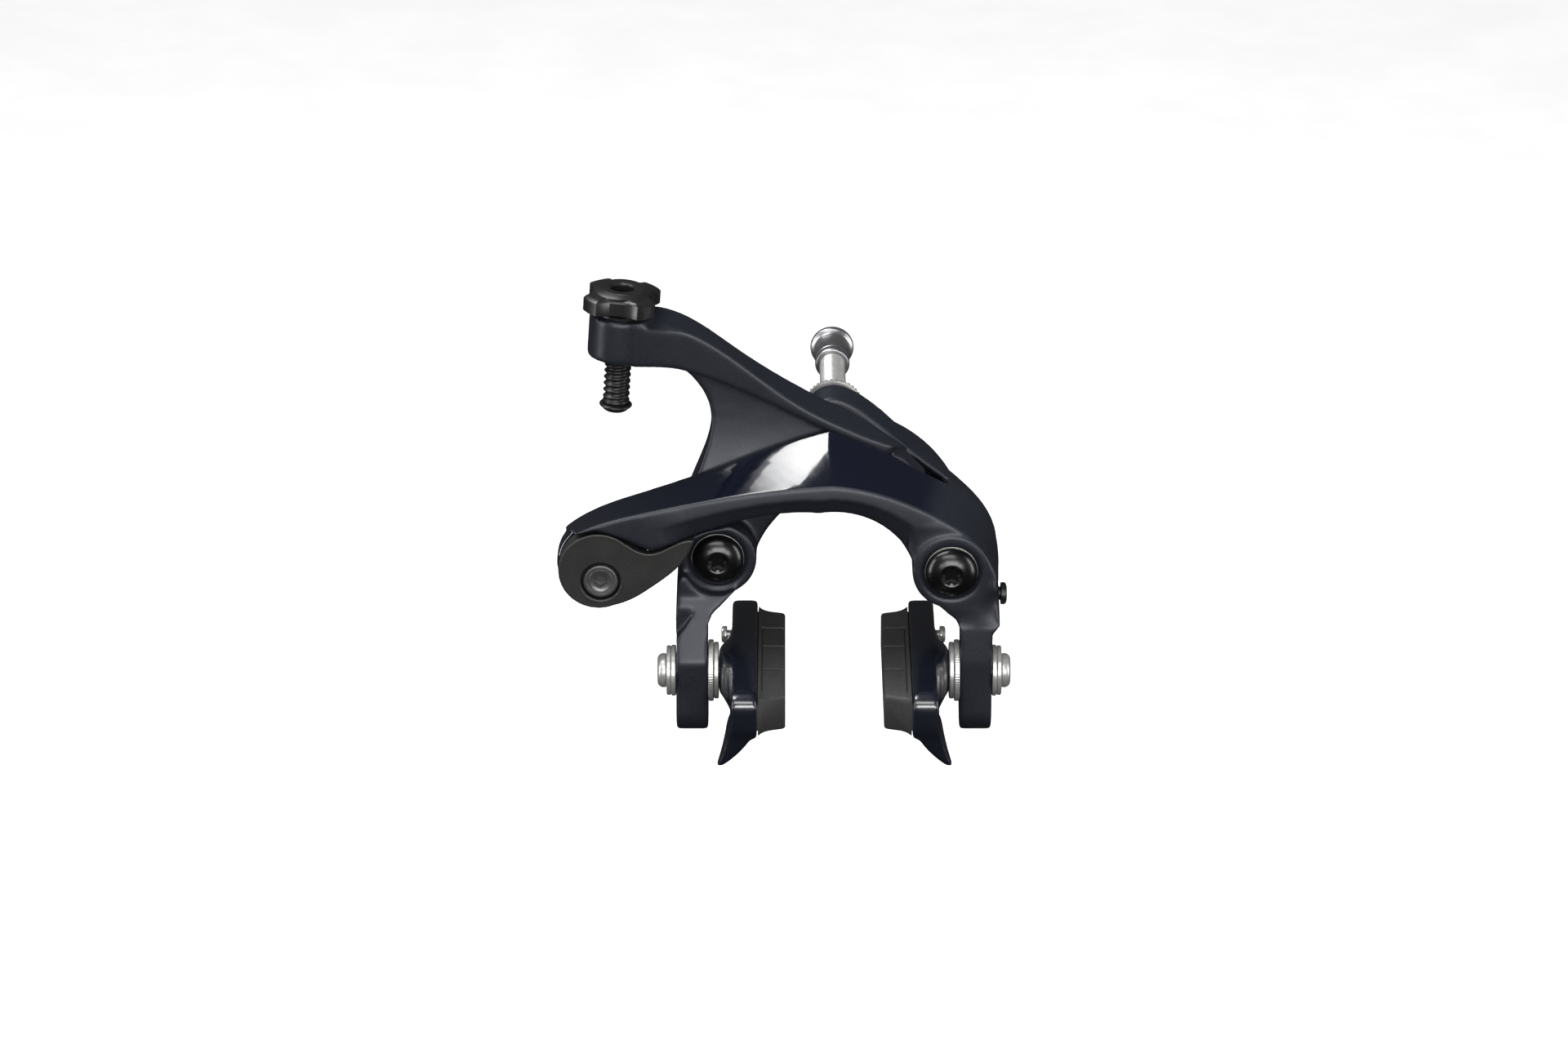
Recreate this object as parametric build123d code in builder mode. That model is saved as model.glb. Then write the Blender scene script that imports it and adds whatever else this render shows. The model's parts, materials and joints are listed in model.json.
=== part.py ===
from build123d import *
import math
import os

os.makedirs("parts", exist_ok=True)

# Dual-pivot rim brake caliper, in millimetres.
# X runs across the wheel, Y runs back to the fork, Z is up. The origin is on the mounting
# bolt's axis, on the face of the fork washer that meets the fork.
# "Depth" is the distance in front of that face, so a plane at depth d lies at Y = -d.

# Driving dimensions
PIVOT_X = 26.0
PIVOT_Z = -24.5
ARCH_RADIUS = 19.0
ARCH_Z = -30.0
REACH = 50.0
SHOE_DEPTH = 34.3
RIM_GAP = 21.8

# Depths of the layers, from the fork forwards
WASHER_FRONT = 1.6
BRIDGE_FRONT = 9.6
ARM_REAR = 10.4
BRANCH_FRONT = 16.3
RECESS_DEPTH = 4.0
BAND_REAR = 16.6
BAND_FRONT = 25.5
BEAM_REAR = 26.3
BEAM_FRONT = 38.0
LEFT_BOSS_FRONT = 31.0
RIGHT_BOSS_FRONT = 38.5

# Bridge
BRIDGE_INNER = 20.2
BRIDGE_OUTER = 30.6
BRIDGE_PIVOT_RADIUS = 6.6
BRIDGE_HUB_RADIUS = 6.3

# Pivots
BOSS_RADIUS = 8.7
NECK_RADIUS = 5.2
POST_RADIUS = 1.0
POST_RISE = 8.1
POST_OFFSET = 5.6
STUD_RADIUS = 3.0
STUD_TIP_DEPTH = 2.4
PRESS_GAP = 0.02
BUSH_RADIUS = 4.2
BUSH_LENGTH = 5.0
RUNNING_PLAY = 0.04
SEAT_RADIUS = 6.3
SEAT_DEPTH = 1.2
DUST_WASHER = 0.3
DOME_RADIUS = 5.8
DOME_HEIGHT = 3.4
THRUST_WASHER = 0.6
FIT_GAP = 0.05

# Legs
LEG_INNER = 28.2
LEG_OUTER = 35.4
LEG_DEPTH = 10.8
LEG_BOTTOM = -64.0
LEG_SLOT = 6.3
SLOT_TRAVEL = 5.0
ARM_BOTTOM_Z = -32.0

# Shoes
SHOE_BOLT_RADIUS = 3.0
SHOE_BOLT_TIP = 21.9
SHOE_HEAD_START = 37.6
SHOE_HEAD_END = 39.6
SHOE_HEAD_RADIUS = 3.85
HOLDER_LENGTH = 56.0
HOLDER_SHIFT = 1.0
HOLDER_HEIGHT = 11.2
HOLDER_BACK = 23.0
HOLDER_HUB = 25.8
HOLDER_LIP = 17.1
CHANNEL_BACK = 21.4
PAD_LENGTH = 51.0
PAD_HEIGHT = 9.4
PAD_TONGUE = 6.8
PAD_FACE = RIM_GAP / 2
GROOVE_DEPTH = 5.0
GROOVE_WIDTH = 0.9
PAD_SCREW_DEPTH = 20.0
PAD_SCREW_Z = -REACH + 2.4
PAD_SCREW_STAND = 1.2
PAD_SCREW_HEAD = 1.2

# Quick release and cable anchor
LEVER_X = -52.5
LEVER_Z = -24.6
LEVER_RADIUS = 8.9
LEVER_FRONT = 37.2
LEVER_REAR = 33.0
TAIL_REAR = 34.7
TAIL_SWEEP = 23.8
PLATE_FRONT = 32.6
HUB_RADIUS = 5.8
HUB_END = 24.8
ANCHOR_X = LEVER_X + 0.5
ANCHOR_Z = LEVER_Z - 2.5
ANCHOR_RADIUS = 2.2
ANCHOR_HEAD = 3.9
ANCHOR_POCKET = 4.45
CLAMP_FRONT = 22.9
CLAMP_THICKNESS = 1.8
ANCHOR_HEAD_REAR = 35.1
ANCHOR_TIP = 16.6
ANCHOR_NUT_REAR = 17.4

# Barrel adjuster, on the cable's line
CABLE_DEPTH = 23.0
ADJUSTER_X = -47.8
ADJUSTER_Z = 21.6
ADJUSTER_TILT = 3.9
ADJUSTER_BOSS = 7.0
BOSS_HEIGHT = 10.0
INSERT_RADIUS = 4.4
BARREL_RADIUS = 3.0
BARREL_BOTTOM = -13.0
BARREL_TOP = 13.0
THREAD_PITCH = 1.5
KNOB_RADIUS = 9.2
KNOB_BOTTOM = 11.2
KNOB_HEIGHT = 4.0
KNOB_COLLAR = 0.9
SCALLOP_RADIUS = 7.6
SCALLOP_OUTSET = 5.1
HOUSING_RADIUS = 2.6
HOUSING_SEAT = 13.5

# Mounting bolt and sleeve nut
BOLT_RADIUS = 3.0
BOLT_SHOULDER = 3.2
BOLT_GRIP = 26.0
BOLT_THREAD = 2.6
BOLT_HEAD_RADIUS = 4.5
BOLT_HEAD_REAR = 6.0
BOLT_LENGTH = 33.0
NUT_START = 26.3
NUT_END = 38.7
NUT_RADIUS = 4.0
NUT_FLANGE = 5.05
SOCKET_DEPTH = 2.4

# Sync roller and its cam
ROLLER_X = 13.6
ROLLER_Z = -6.6
ROLLER_RADIUS = 2.0
ROLLER_PIN = 1.0
CAM_GAP = 0.25
LOBE_THICKNESS = 1.6
LOBE_REAR = 17.4
LOBE_FRONT = 24.4
OPEN_LIMIT = -1.5
CLOSE_LIMIT = 7.5

# Centring screw, on the right flank
CENTRING_Y = -30.0
CENTRING_Z = -33.0
CENTRING_TIP = 31.0
CENTRING_HEAD = 37.3
CENTRING_END = 38.7

# Return spring
SPRING_WIRE = 0.7
SPRING_COIL = 6.3
SPRING_PITCH = 1.5
SPRING_TURNS = 3
SPRING_LEG = 9.0

# Deeper than any piece, for cuts that run out of the front
CLEAR_DEPTH = 45.0


def front_plane(depth):
    """Plane facing the front, at a depth before the fork face. Its axes are X and Z."""
    return Plane.XZ.offset(depth)


def side_plane(x):
    """Plane facing +X. Its axes are Y and Z."""
    return Plane.YZ.offset(x)


def finish(part, name):
    """Label a finished piece and write it."""
    part.label = name
    export_step(part, f"parts/{name}.step")


def mirrored(part):
    """The same piece on the other side of the wheel."""
    return mirror(part, about=Plane.YZ)


def turned(x, z, pivot_x, degrees):
    """A point of the X-Z plane, turned clockwise as seen from the front, about a pivot."""
    angle = math.radians(degrees)
    dx = x - pivot_x
    dz = z - PIVOT_Z
    return (
        pivot_x + dx * math.cos(angle) + dz * math.sin(angle),
        PIVOT_Z - dx * math.sin(angle) + dz * math.cos(angle),
    )


def roller_seen_by_cam(degrees):
    """Roller centre in the adjuster arm's frame, when both arms have closed by an angle."""
    x, z = turned(ROLLER_X, ROLLER_Z, PIVOT_X, degrees)
    return turned(x, z, -PIVOT_X, degrees)


def disc(depth_start, depth_end, radius, hole=0.0, x=0.0, z=0.0):
    """Disc or ring whose axis runs along Y, between two depths."""
    with BuildPart() as piece:
        with BuildSketch(front_plane(depth_start)):
            with Locations((x, z)):
                Circle(radius)
                if hole:
                    Circle(hole, mode=Mode.SUBTRACT)
        extrude(amount=depth_end - depth_start)
    return piece.part


def cross_disc(x_start, x_end, radius, hole=0.0, y=0.0, z=0.0):
    """Disc or ring whose axis runs along X."""
    with BuildPart() as piece:
        with BuildSketch(side_plane(x_start)):
            with Locations((y, z)):
                Circle(radius)
                if hole:
                    Circle(hole, mode=Mode.SUBTRACT)
        extrude(amount=x_end - x_start)
    return piece.part


# Legs: a front outline that meets a side outline


def leg_blank(side, outer_top, front_top):
    """A leg that grows out of a pivot boss. front_top is the depth of its front at the top."""
    half = LEG_DEPTH / 2
    foot = LEG_BOTTOM + half
    with BuildPart() as front_view:
        with BuildSketch(front_plane(18.0)):
            with BuildLine():
                Polyline(
                    (side * 27.2, -36.2),
                    (side * LEG_INNER, -38.2),
                    (side * LEG_INNER, LEG_BOTTOM),
                    (side * LEG_OUTER, LEG_BOTTOM),
                    (side * LEG_OUTER, -39.3),
                    (side * outer_top, -37.2),
                    (side * (outer_top - 0.3), -29.0),
                    (side * 31.0, -22.0),
                    (side * 18.4, -26.0),
                )
                Spline(
                    (side * 18.4, -26.0),
                    (side * 23.2, -32.6),
                    (side * 27.2, -36.2),
                )
            make_face()
        extrude(amount=24.0)
    with BuildPart() as blank:
        with BuildSketch(side_plane(-45.0)):
            with BuildLine():
                Polyline(
                    (-SHOE_DEPTH + half, foot),
                    (-SHOE_DEPTH + half, -43.0),
                    (-21.0, -32.0),
                    (-21.0, -22.0),
                    (-front_top, -22.0),
                    (-front_top, -32.5),
                    (-SHOE_DEPTH - half, -46.0),
                    (-SHOE_DEPTH - half, foot),
                )
                RadiusArc((-SHOE_DEPTH - half, foot), (-SHOE_DEPTH + half, foot), -half)
            make_face()
        extrude(amount=90.0)
        add(front_view.part, mode=Mode.INTERSECT)
        with BuildSketch(side_plane(-45.0)):
            with Locations((-SHOE_DEPTH, -REACH)):
                SlotCenterToCenter(2 * SLOT_TRAVEL, LEG_SLOT, rotation=90)
        extrude(amount=90.0, mode=Mode.SUBTRACT)
    return blank.part


# Front arm: beam over the tyre, rear branch with the hump, right flank, boss and leg


def beam_outline(left_crest, right_crest):
    """Outline of the beam at one depth. Its two crests meet at a crease over the arch."""
    arch_right = (18.77, -27.03)
    arch_left = (-3.3, -11.29)
    Spline(*left_crest)
    Spline(*right_crest)
    Polyline(right_crest[-1], (31.0, ARM_BOTTOM_Z), (22.0, ARM_BOTTOM_Z), arch_right)
    RadiusArc(arch_right, arch_left, -ARCH_RADIUS)
    Spline(arch_left, (-16.0, -12.0), (-29.0, -15.6), (-41.0, -19.6))
    Spline((-41.0, -19.6), (-46.2, -16.9), (-53.0, -14.6))
    Line((-53.0, -14.6), left_crest[0])


def branch_outline(hump, shoulder):
    """Outline of the rear branch at one depth, from the hump over the mounting bolt outwards."""
    Spline(hump[0], hump[1], hump[2], shoulder, (28.0, -12.5), (33.0, -17.8), (36.0, -23.0), (37.0, -28.0))
    Polyline((37.0, -28.0), (31.0, ARM_BOTTOM_Z), (22.0, ARM_BOTTOM_Z), (19.2, -26.0))
    Spline((19.2, -26.0), (16.5, -14.5), (6.0, -6.2), (-6.5, -3.4))
    Line((-6.5, -3.4), hump[0])


with BuildPart() as beam:
    with BuildSketch(front_plane(BEAM_REAR)):
        with BuildLine():
            beam_outline(
                [(-60.6, -18.6), (-54.5, -14.4), (-41.0, -9.2), (-24.0, -2.9), (-11.0, 2.0), (-1.0, 4.9)],
                [
                    (-1.0, 4.9),
                    (7.6, 1.5),
                    (15.3, -2.4),
                    (20.7, -5.5),
                    (25.3, -7.8),
                    (31.0, -11.6),
                    (34.7, -16.0),
                    (36.5, -21.6),
                    (37.0, -28.0),
                ],
            )
        make_face()
    with BuildSketch(front_plane(BEAM_FRONT)):
        with BuildLine():
            beam_outline(
                [(-58.0, -15.6), (-52.5, -13.2), (-41.0, -10.2), (-24.0, -6.9), (-11.0, -5.2), (0.0, -4.4)],
                [
                    (0.0, -4.4),
                    (6.0, -5.2),
                    (12.0, -6.8),
                    (18.2, -9.3),
                    (24.6, -12.6),
                    (29.5, -15.8),
                    (33.4, -20.0),
                    (35.8, -24.4),
                    (36.6, -28.0),
                ],
            )
        make_face()
    loft(ruled=True)

with BuildPart() as rear_branch:
    with BuildSketch(front_plane(ARM_REAR)):
        with BuildLine():
            branch_outline([(-6.5, 5.6), (0.2, 9.9), (8.6, 5.8)], (18.5, -3.7))
        make_face()
    with BuildSketch(front_plane(BRANCH_FRONT)):
        with BuildLine():
            branch_outline([(-6.5, 5.0), (0.2, 8.2), (8.6, 3.4)], (17.5, -4.2))
        make_face()
    loft(ruled=True)

with BuildPart() as right_flank:
    with BuildSketch(front_plane(BRANCH_FRONT)):
        with BuildLine():
            Spline((25.8, -10.5), (28.0, -12.3), (33.0, -17.2), (36.0, -22.6), (37.0, -28.0))
            Polyline((37.0, -28.0), (31.0, ARM_BOTTOM_Z), (22.0, ARM_BOTTOM_Z), (20.6, -24.0), (25.8, -10.5))
        make_face()
    with BuildSketch(front_plane(BEAM_REAR)):
        with BuildLine():
            Spline((25.8, -8.1), (31.0, -11.6), (34.7, -16.0), (36.5, -21.6), (37.0, -28.0))
            Polyline((37.0, -28.0), (31.0, ARM_BOTTOM_Z), (22.0, ARM_BOTTOM_Z), (20.6, -24.0), (25.8, -8.1))
        make_face()
    loft(ruled=True)

with BuildPart() as front_arm:
    add(beam.part)
    add(rear_branch.part)
    add(right_flank.part)
    add(disc(BEAM_REAR + 0.5, PLATE_FRONT, LEVER_RADIUS + 0.5, x=LEVER_X, z=LEVER_Z))
    with BuildSketch(front_plane(BEAM_REAR + 0.5)):
        with BuildLine():
            Polyline((-56.0, -16.5), (-44.0, -16.5), (-40.5, -19.5), (-45.0, -28.0), (-56.0, -16.5))
        make_face()
    extrude(amount=PLATE_FRONT - BEAM_REAR - 0.5)
    add(disc(ARM_REAR, RIGHT_BOSS_FRONT, BOSS_RADIUS, x=PIVOT_X, z=PIVOT_Z))
    add(leg_blank(1, 37.0, RIGHT_BOSS_FRONT))
    # Pocket that the lever's disc turns in, and the hole for its hub
    add(
        disc(PLATE_FRONT, BEAM_FRONT + 1, LEVER_RADIUS + 0.4, x=LEVER_X, z=LEVER_Z),
        mode=Mode.SUBTRACT,
    )
    add(
        disc(20.0, BEAM_FRONT, HUB_RADIUS + RUNNING_PLAY, x=LEVER_X, z=LEVER_Z),
        mode=Mode.SUBTRACT,
    )
    # Pivot bore and the seat of the bolt's head
    add(disc(0, CLEAR_DEPTH, BUSH_RADIUS, x=PIVOT_X, z=PIVOT_Z), mode=Mode.SUBTRACT)
    add(
        disc(RIGHT_BOSS_FRONT - SEAT_DEPTH, CLEAR_DEPTH, SEAT_RADIUS, x=PIVOT_X, z=PIVOT_Z),
        mode=Mode.SUBTRACT,
    )
    # Recess in the rear branch, seen through the slot behind the beam
    with BuildSketch(front_plane(BRANCH_FRONT - RECESS_DEPTH)):
        with BuildLine():
            Polyline(
                (17.2, -5.6),
                (20.0, -8.0),
                (24.6, -11.6),
                (24.6, -14.6),
                (20.4, -16.0),
                (17.2, -9.6),
                close=True,
            )
        make_face()
    extrude(amount=RECESS_DEPTH, mode=Mode.SUBTRACT)
    # Hole of the roller's pin, and of the centring screw
    add(disc(12.8, 30.2, ROLLER_PIN, x=ROLLER_X, z=ROLLER_Z), mode=Mode.SUBTRACT)
    add(
        cross_disc(CENTRING_TIP - 0.5, 40.0, 1.55, y=CENTRING_Y, z=CENTRING_Z),
        mode=Mode.SUBTRACT,
    )
finish(front_arm.part, "front_arm")


# Adjuster arm: boss for the barrel, diagonal band, cam lobe, web, neck, boss and left leg


def band_outline(crest, beak_low):
    """Outline of the diagonal band at one depth, under a crest from the boss to the beak."""
    Spline(*crest)
    Line(crest[-1], beak_low)
    Spline(beak_low, (-1.6, 4.2), (-13.0, 10.0), (-26.0, 16.0), (-36.0, 19.2))
    Line((-36.0, 19.2), (-44.0, 20.4))
    Line((-44.0, 20.4), crest[0])


with BuildPart() as band:
    with BuildSketch(front_plane(BAND_REAR)):
        with BuildLine():
            band_outline(
                [
                    (-44.0, 31.2),
                    (-36.0, 30.2),
                    (-21.8, 21.1),
                    (-5.0, 10.4),
                    (5.6, 4.4),
                    (12.4, 0.0),
                    (17.0, -3.4),
                ],
                (14.2, -4.2),
            )
        make_face()
    with BuildSketch(front_plane(BAND_FRONT)):
        with BuildLine():
            band_outline(
                [
                    (-44.0, 29.6),
                    (-34.8, 28.7),
                    (-20.2, 20.0),
                    (-6.0, 9.4),
                    (2.6, 5.0),
                    (8.4, 2.5),
                    (13.4, 0.8),
                ],
                (11.6, -2.0),
            )
        make_face()
    loft(ruled=True)

with BuildPart() as web:
    with BuildSketch(front_plane(BAND_REAR)):
        with BuildLine():
            Spline((-38.0, 19.6), (-30.4, 14.2), (-27.6, 8.0), (-30.0, -4.6), (-34.4, -22.0))
            Polyline((-34.4, -22.0), (-30.0, -32.0), (-19.4, -29.0), (-17.6, -25.0))
            Spline((-17.6, -25.0), (-13.2, -17.2), (-3.0, -9.0), (6.5, -5.4))
            Polyline((6.5, -5.4), (10.6, -1.6), (0.0, 6.0), (-38.0, 22.0), (-38.0, 19.6))
        make_face()
    extrude(amount=BAND_FRONT - BAND_REAR)
    # The web's front is hollowed, so that the band stands proud and the foot sweeps forwards
    with BuildSketch(side_plane(-45.0)):
        with BuildLine():
            Spline((-BAND_FRONT, -7.0), (-23.6, -1.0), (-22.4, 6.0), (-21.8, 24.0))
            Polyline(
                (-21.8, 24.0),
                (-BAND_FRONT - 1, 24.0),
                (-BAND_FRONT - 1, -7.0),
                (-BAND_FRONT, -7.0),
            )
        make_face()
    extrude(amount=60.0, mode=Mode.SUBTRACT)

with BuildPart() as cam_lobe:
    open_x, open_z = roller_seen_by_cam(OPEN_LIMIT)
    closed_x, closed_z = roller_seen_by_cam(CLOSE_LIMIT)
    run = math.hypot(closed_x - open_x, closed_z - open_z)

    def beside_path(degrees, distance):
        """Point beside the roller's path, towards the body of the lobe."""
        x, z = roller_seen_by_cam(degrees)
        return (
            x + (open_z - closed_z) / run * distance,
            z + (closed_x - open_x) / run * distance,
        )

    reach_to_cam = ROLLER_RADIUS + CAM_GAP
    cam_start = beside_path(OPEN_LIMIT, reach_to_cam)
    cam_end = beside_path(CLOSE_LIMIT, reach_to_cam)
    with BuildSketch(front_plane(LOBE_REAR)):
        with BuildLine():
            ThreePointArc(
                cam_start,
                beside_path((OPEN_LIMIT + CLOSE_LIMIT) / 2, reach_to_cam),
                cam_end,
            )
            Polyline(
                cam_end,
                beside_path(CLOSE_LIMIT, reach_to_cam + LOBE_THICKNESS),
                (15.2, -2.4),
                (8.0, 0.4),
                cam_start,
            )
        make_face()
    extrude(amount=LOBE_FRONT - LOBE_REAR)

adjuster_plane = Plane(
    origin=(ADJUSTER_X, -CABLE_DEPTH, ADJUSTER_Z),
    x_dir=(math.cos(math.radians(ADJUSTER_TILT)), 0, -math.sin(math.radians(ADJUSTER_TILT))),
    z_dir=(math.sin(math.radians(ADJUSTER_TILT)), 0, math.cos(math.radians(ADJUSTER_TILT))),
)


def adjuster_disc(bottom, top, radius, hole=0.0):
    """Disc or ring on the adjuster's axis, between two heights over the boss's underside."""
    with BuildPart() as piece:
        with BuildSketch(adjuster_plane.offset(bottom)):
            Circle(radius)
            if hole:
                Circle(hole, mode=Mode.SUBTRACT)
        extrude(amount=top - bottom)
    return piece.part


# Neck that tapers from the boss's front into the band
with BuildPart() as neck_front_view:
    with BuildSketch(front_plane(BAND_REAR + 0.4)):
        with BuildLine():
            Polyline(
                (-47.8, 22.0),
                (-47.8, 30.6),
                (-42.0, 29.8),
                (-35.0, 28.4),
                (-31.0, 26.2),
                (-31.0, 17.8),
                (-36.0, 19.3),
                (-44.0, 20.6),
                close=True,
            )
        make_face()
    extrude(amount=15.0)

with BuildPart() as neck:
    with BuildSketch(Plane.XY.offset(15.0)):
        with BuildLine():
            Spline((-45.8, -29.65), (-41.6, -28.0), (-37.0, -26.3), (-31.6, -BAND_FRONT))
            Polyline(
                (-31.6, -BAND_FRONT),
                (-31.6, -BAND_REAR - 0.4),
                (-47.8, -BAND_REAR - 0.4),
                (-47.8, -29.65),
                (-45.8, -29.65),
            )
        make_face()
    extrude(amount=20.0)
    add(neck_front_view.part, mode=Mode.INTERSECT)

with BuildPart() as adjuster_arm:
    add(band.part)
    add(web.part)
    add(cam_lobe.part)
    add(adjuster_disc(0, BOSS_HEIGHT, ADJUSTER_BOSS))
    add(neck.part)
    add(disc(BAND_REAR, LEFT_BOSS_FRONT, BOSS_RADIUS, x=-PIVOT_X, z=PIVOT_Z))
    add(disc(ARM_REAR, BAND_REAR, NECK_RADIUS, x=-PIVOT_X, z=PIVOT_Z))
    add(leg_blank(-1, 35.4, LEFT_BOSS_FRONT + 2.2))
    # Post that the front end of the return spring bears on
    add(disc(14.4, BAND_REAR, POST_RADIUS, x=-PIVOT_X - POST_OFFSET, z=PIVOT_Z + POST_RISE))
    # Round recess about the bolt's head, over the leg's shoulder
    add(
        disc(LEFT_BOSS_FRONT, CLEAR_DEPTH, BOSS_RADIUS - 1.0, x=-PIVOT_X, z=PIVOT_Z),
        mode=Mode.SUBTRACT,
    )
    with BuildSketch(front_plane(LEFT_BOSS_FRONT)):
        with Locations((-PIVOT_X, PIVOT_Z + 5.0)):
            Rectangle(30.0, 16.0)
    extrude(amount=12.0, mode=Mode.SUBTRACT)
    # Room for the beam, which comes down when the arms open
    with BuildSketch(front_plane(BAND_FRONT + 0.4)):
        with BuildLine():
            Polyline(
                (-44.0, -22.7),
                (-41.0, -21.7),
                (-29.0, -17.7),
                (-16.0, -14.1),
                (-16.0, -5.0),
                (-44.0, -5.0),
                close=True,
            )
        make_face()
    extrude(amount=CLEAR_DEPTH - BAND_FRONT - 0.4, mode=Mode.SUBTRACT)
    # Corner that the lever's tail sweeps over
    add(disc(TAIL_REAR - 0.4, CLEAR_DEPTH, TAIL_SWEEP, x=LEVER_X, z=LEVER_Z), mode=Mode.SUBTRACT)
    add(disc(0, CLEAR_DEPTH, BUSH_RADIUS, x=-PIVOT_X, z=PIVOT_Z), mode=Mode.SUBTRACT)
    add(
        disc(LEFT_BOSS_FRONT - SEAT_DEPTH, CLEAR_DEPTH, SEAT_RADIUS, x=-PIVOT_X, z=PIVOT_Z),
        mode=Mode.SUBTRACT,
    )
    add(adjuster_disc(-2, BOSS_HEIGHT + 4, INSERT_RADIUS), mode=Mode.SUBTRACT)
finish(adjuster_arm.part, "adjuster_arm")


# Bridge, fork bolt and nut

with BuildPart() as bridge:
    with BuildSketch(front_plane(WASHER_FRONT)):
        with Locations((0, ARCH_Z)):
            Circle(BRIDGE_OUTER)
            Circle(BRIDGE_INNER, mode=Mode.SUBTRACT)
        with Locations((0, PIVOT_Z - 0.5)):
            Rectangle(80.0, 40.0, align=(Align.CENTER, Align.MAX), mode=Mode.SUBTRACT)
        Circle(BRIDGE_HUB_RADIUS)
        with Locations((-PIVOT_X, PIVOT_Z), (PIVOT_X, PIVOT_Z)):
            Circle(BRIDGE_PIVOT_RADIUS)
    extrude(amount=BRIDGE_FRONT - WASHER_FRONT)
    # Post that the rear end of the return spring bears on
    add(disc(BRIDGE_FRONT, 12.6, POST_RADIUS, x=-PIVOT_X + POST_OFFSET + 1.4, z=PIVOT_Z + POST_RISE))
    add(disc(0, 12, BOLT_SHOULDER + PRESS_GAP), mode=Mode.SUBTRACT)
    add(disc(BOLT_HEAD_REAR, 12, BOLT_HEAD_RADIUS + 0.1), mode=Mode.SUBTRACT)
    for pivot_x in (-PIVOT_X, PIVOT_X):
        add(disc(0, 12, STUD_RADIUS + PRESS_GAP, x=pivot_x, z=PIVOT_Z), mode=Mode.SUBTRACT)
finish(bridge.part, "bridge_plate")

with BuildPart() as fork_bolt:
    add(disc(-BOLT_LENGTH, -BOLT_GRIP, BOLT_THREAD))
    add(disc(-BOLT_GRIP, 0, BOLT_RADIUS))
    add(disc(0, BOLT_HEAD_REAR, BOLT_SHOULDER))
    add(disc(BOLT_HEAD_REAR, BRIDGE_FRONT - 0.1, BOLT_HEAD_RADIUS))
    with BuildSketch(front_plane(BRIDGE_FRONT - 0.1)):
        RegularPolygon(2.5, 6, major_radius=False)
    extrude(amount=-SOCKET_DEPTH, mode=Mode.SUBTRACT)
    chamfer(fork_bolt.edges().filter_by(GeomType.CIRCLE).sort_by(Axis.Y)[-1], 0.6)
finish(fork_bolt.part, "fork_bolt")

with BuildPart() as fork_washer:
    add(disc(0, WASHER_FRONT, 7.0, hole=BOLT_SHOULDER + FIT_GAP))
finish(fork_washer.part, "fork_washer")

with BuildPart() as sleeve_nut:
    with BuildSketch(Plane.XY):
        with BuildLine():
            Polyline(
                (BOLT_THREAD + RUNNING_PLAY, NUT_START),
                (NUT_RADIUS - 0.3, NUT_START),
                (NUT_RADIUS, NUT_START + 0.6),
                (NUT_RADIUS, NUT_END - 2.2),
                (NUT_FLANGE, NUT_END - 1.6),
                (NUT_FLANGE, NUT_END - 0.5),
                (NUT_FLANGE - 0.5, NUT_END),
                (BOLT_THREAD + RUNNING_PLAY, NUT_END),
                close=True,
            )
        make_face()
    revolve(axis=Axis.Y)
finish(sleeve_nut.part, "sleeve_nut")


# Pivot hardware, once for each side


def pivot_bolt(x, boss_front):
    """Shouldered pivot bolt with a domed head and a star recess."""
    seat = boss_front - SEAT_DEPTH + DUST_WASHER
    with BuildPart() as bolt:
        add(disc(STUD_TIP_DEPTH, seat, STUD_RADIUS, x=x, z=PIVOT_Z))
        with BuildSketch(Plane(origin=(x, -seat, PIVOT_Z), x_dir=(1, 0, 0), z_dir=(0, 0, 1))):
            with BuildLine():
                Polyline((0, -DOME_HEIGHT), (0, 0), (DOME_RADIUS, 0), (DOME_RADIUS, -0.5))
                Spline(
                    (DOME_RADIUS, -0.5),
                    (DOME_RADIUS * 0.72, -DOME_HEIGHT * 0.77),
                    (0, -DOME_HEIGHT),
                    tangents=((0, -1), (-1, 0)),
                )
            make_face()
        revolve(axis=Axis((x, 0, PIVOT_Z), (0, 1, 0)))
        with BuildSketch(front_plane(seat + 1.4)):
            with Locations((x, PIVOT_Z)):
                Circle(1.45)
                with PolarLocations(1.5, 6):
                    Circle(0.42)
        extrude(amount=4.0, mode=Mode.SUBTRACT)
    return bolt.part


finish(pivot_bolt(-PIVOT_X, LEFT_BOSS_FRONT), "left_pivot_bolt")
finish(pivot_bolt(PIVOT_X, RIGHT_BOSS_FRONT), "right_pivot_bolt")

for side_name, pivot_x, boss_front, washer_radius in (
    ("left", -PIVOT_X, LEFT_BOSS_FRONT, NECK_RADIUS),
    ("right", PIVOT_X, RIGHT_BOSS_FRONT, BRIDGE_PIVOT_RADIUS),
):
    bush_hole = STUD_RADIUS + RUNNING_PLAY
    seat_depth = boss_front - SEAT_DEPTH
    with BuildPart() as bushes:
        add(disc(ARM_REAR, ARM_REAR + BUSH_LENGTH, BUSH_RADIUS, bush_hole, pivot_x, PIVOT_Z))
        add(disc(seat_depth - BUSH_LENGTH, seat_depth, BUSH_RADIUS, bush_hole, pivot_x, PIVOT_Z))
    finish(bushes.part, f"{side_name}_pivot_bushes")
    dust_washer = disc(
        seat_depth + 0.02,
        seat_depth + DUST_WASHER - 0.02,
        SEAT_RADIUS - 0.1,
        bush_hole,
        pivot_x,
        PIVOT_Z,
    )
    finish(dust_washer, f"{side_name}_dust_washer")
    thrust_washer = disc(
        BRIDGE_FRONT,
        BRIDGE_FRONT + THRUST_WASHER,
        washer_radius - 0.1,
        STUD_RADIUS + 0.1,
        pivot_x,
        PIVOT_Z,
    )
    finish(thrust_washer, f"{side_name}_thrust_washer")


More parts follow.
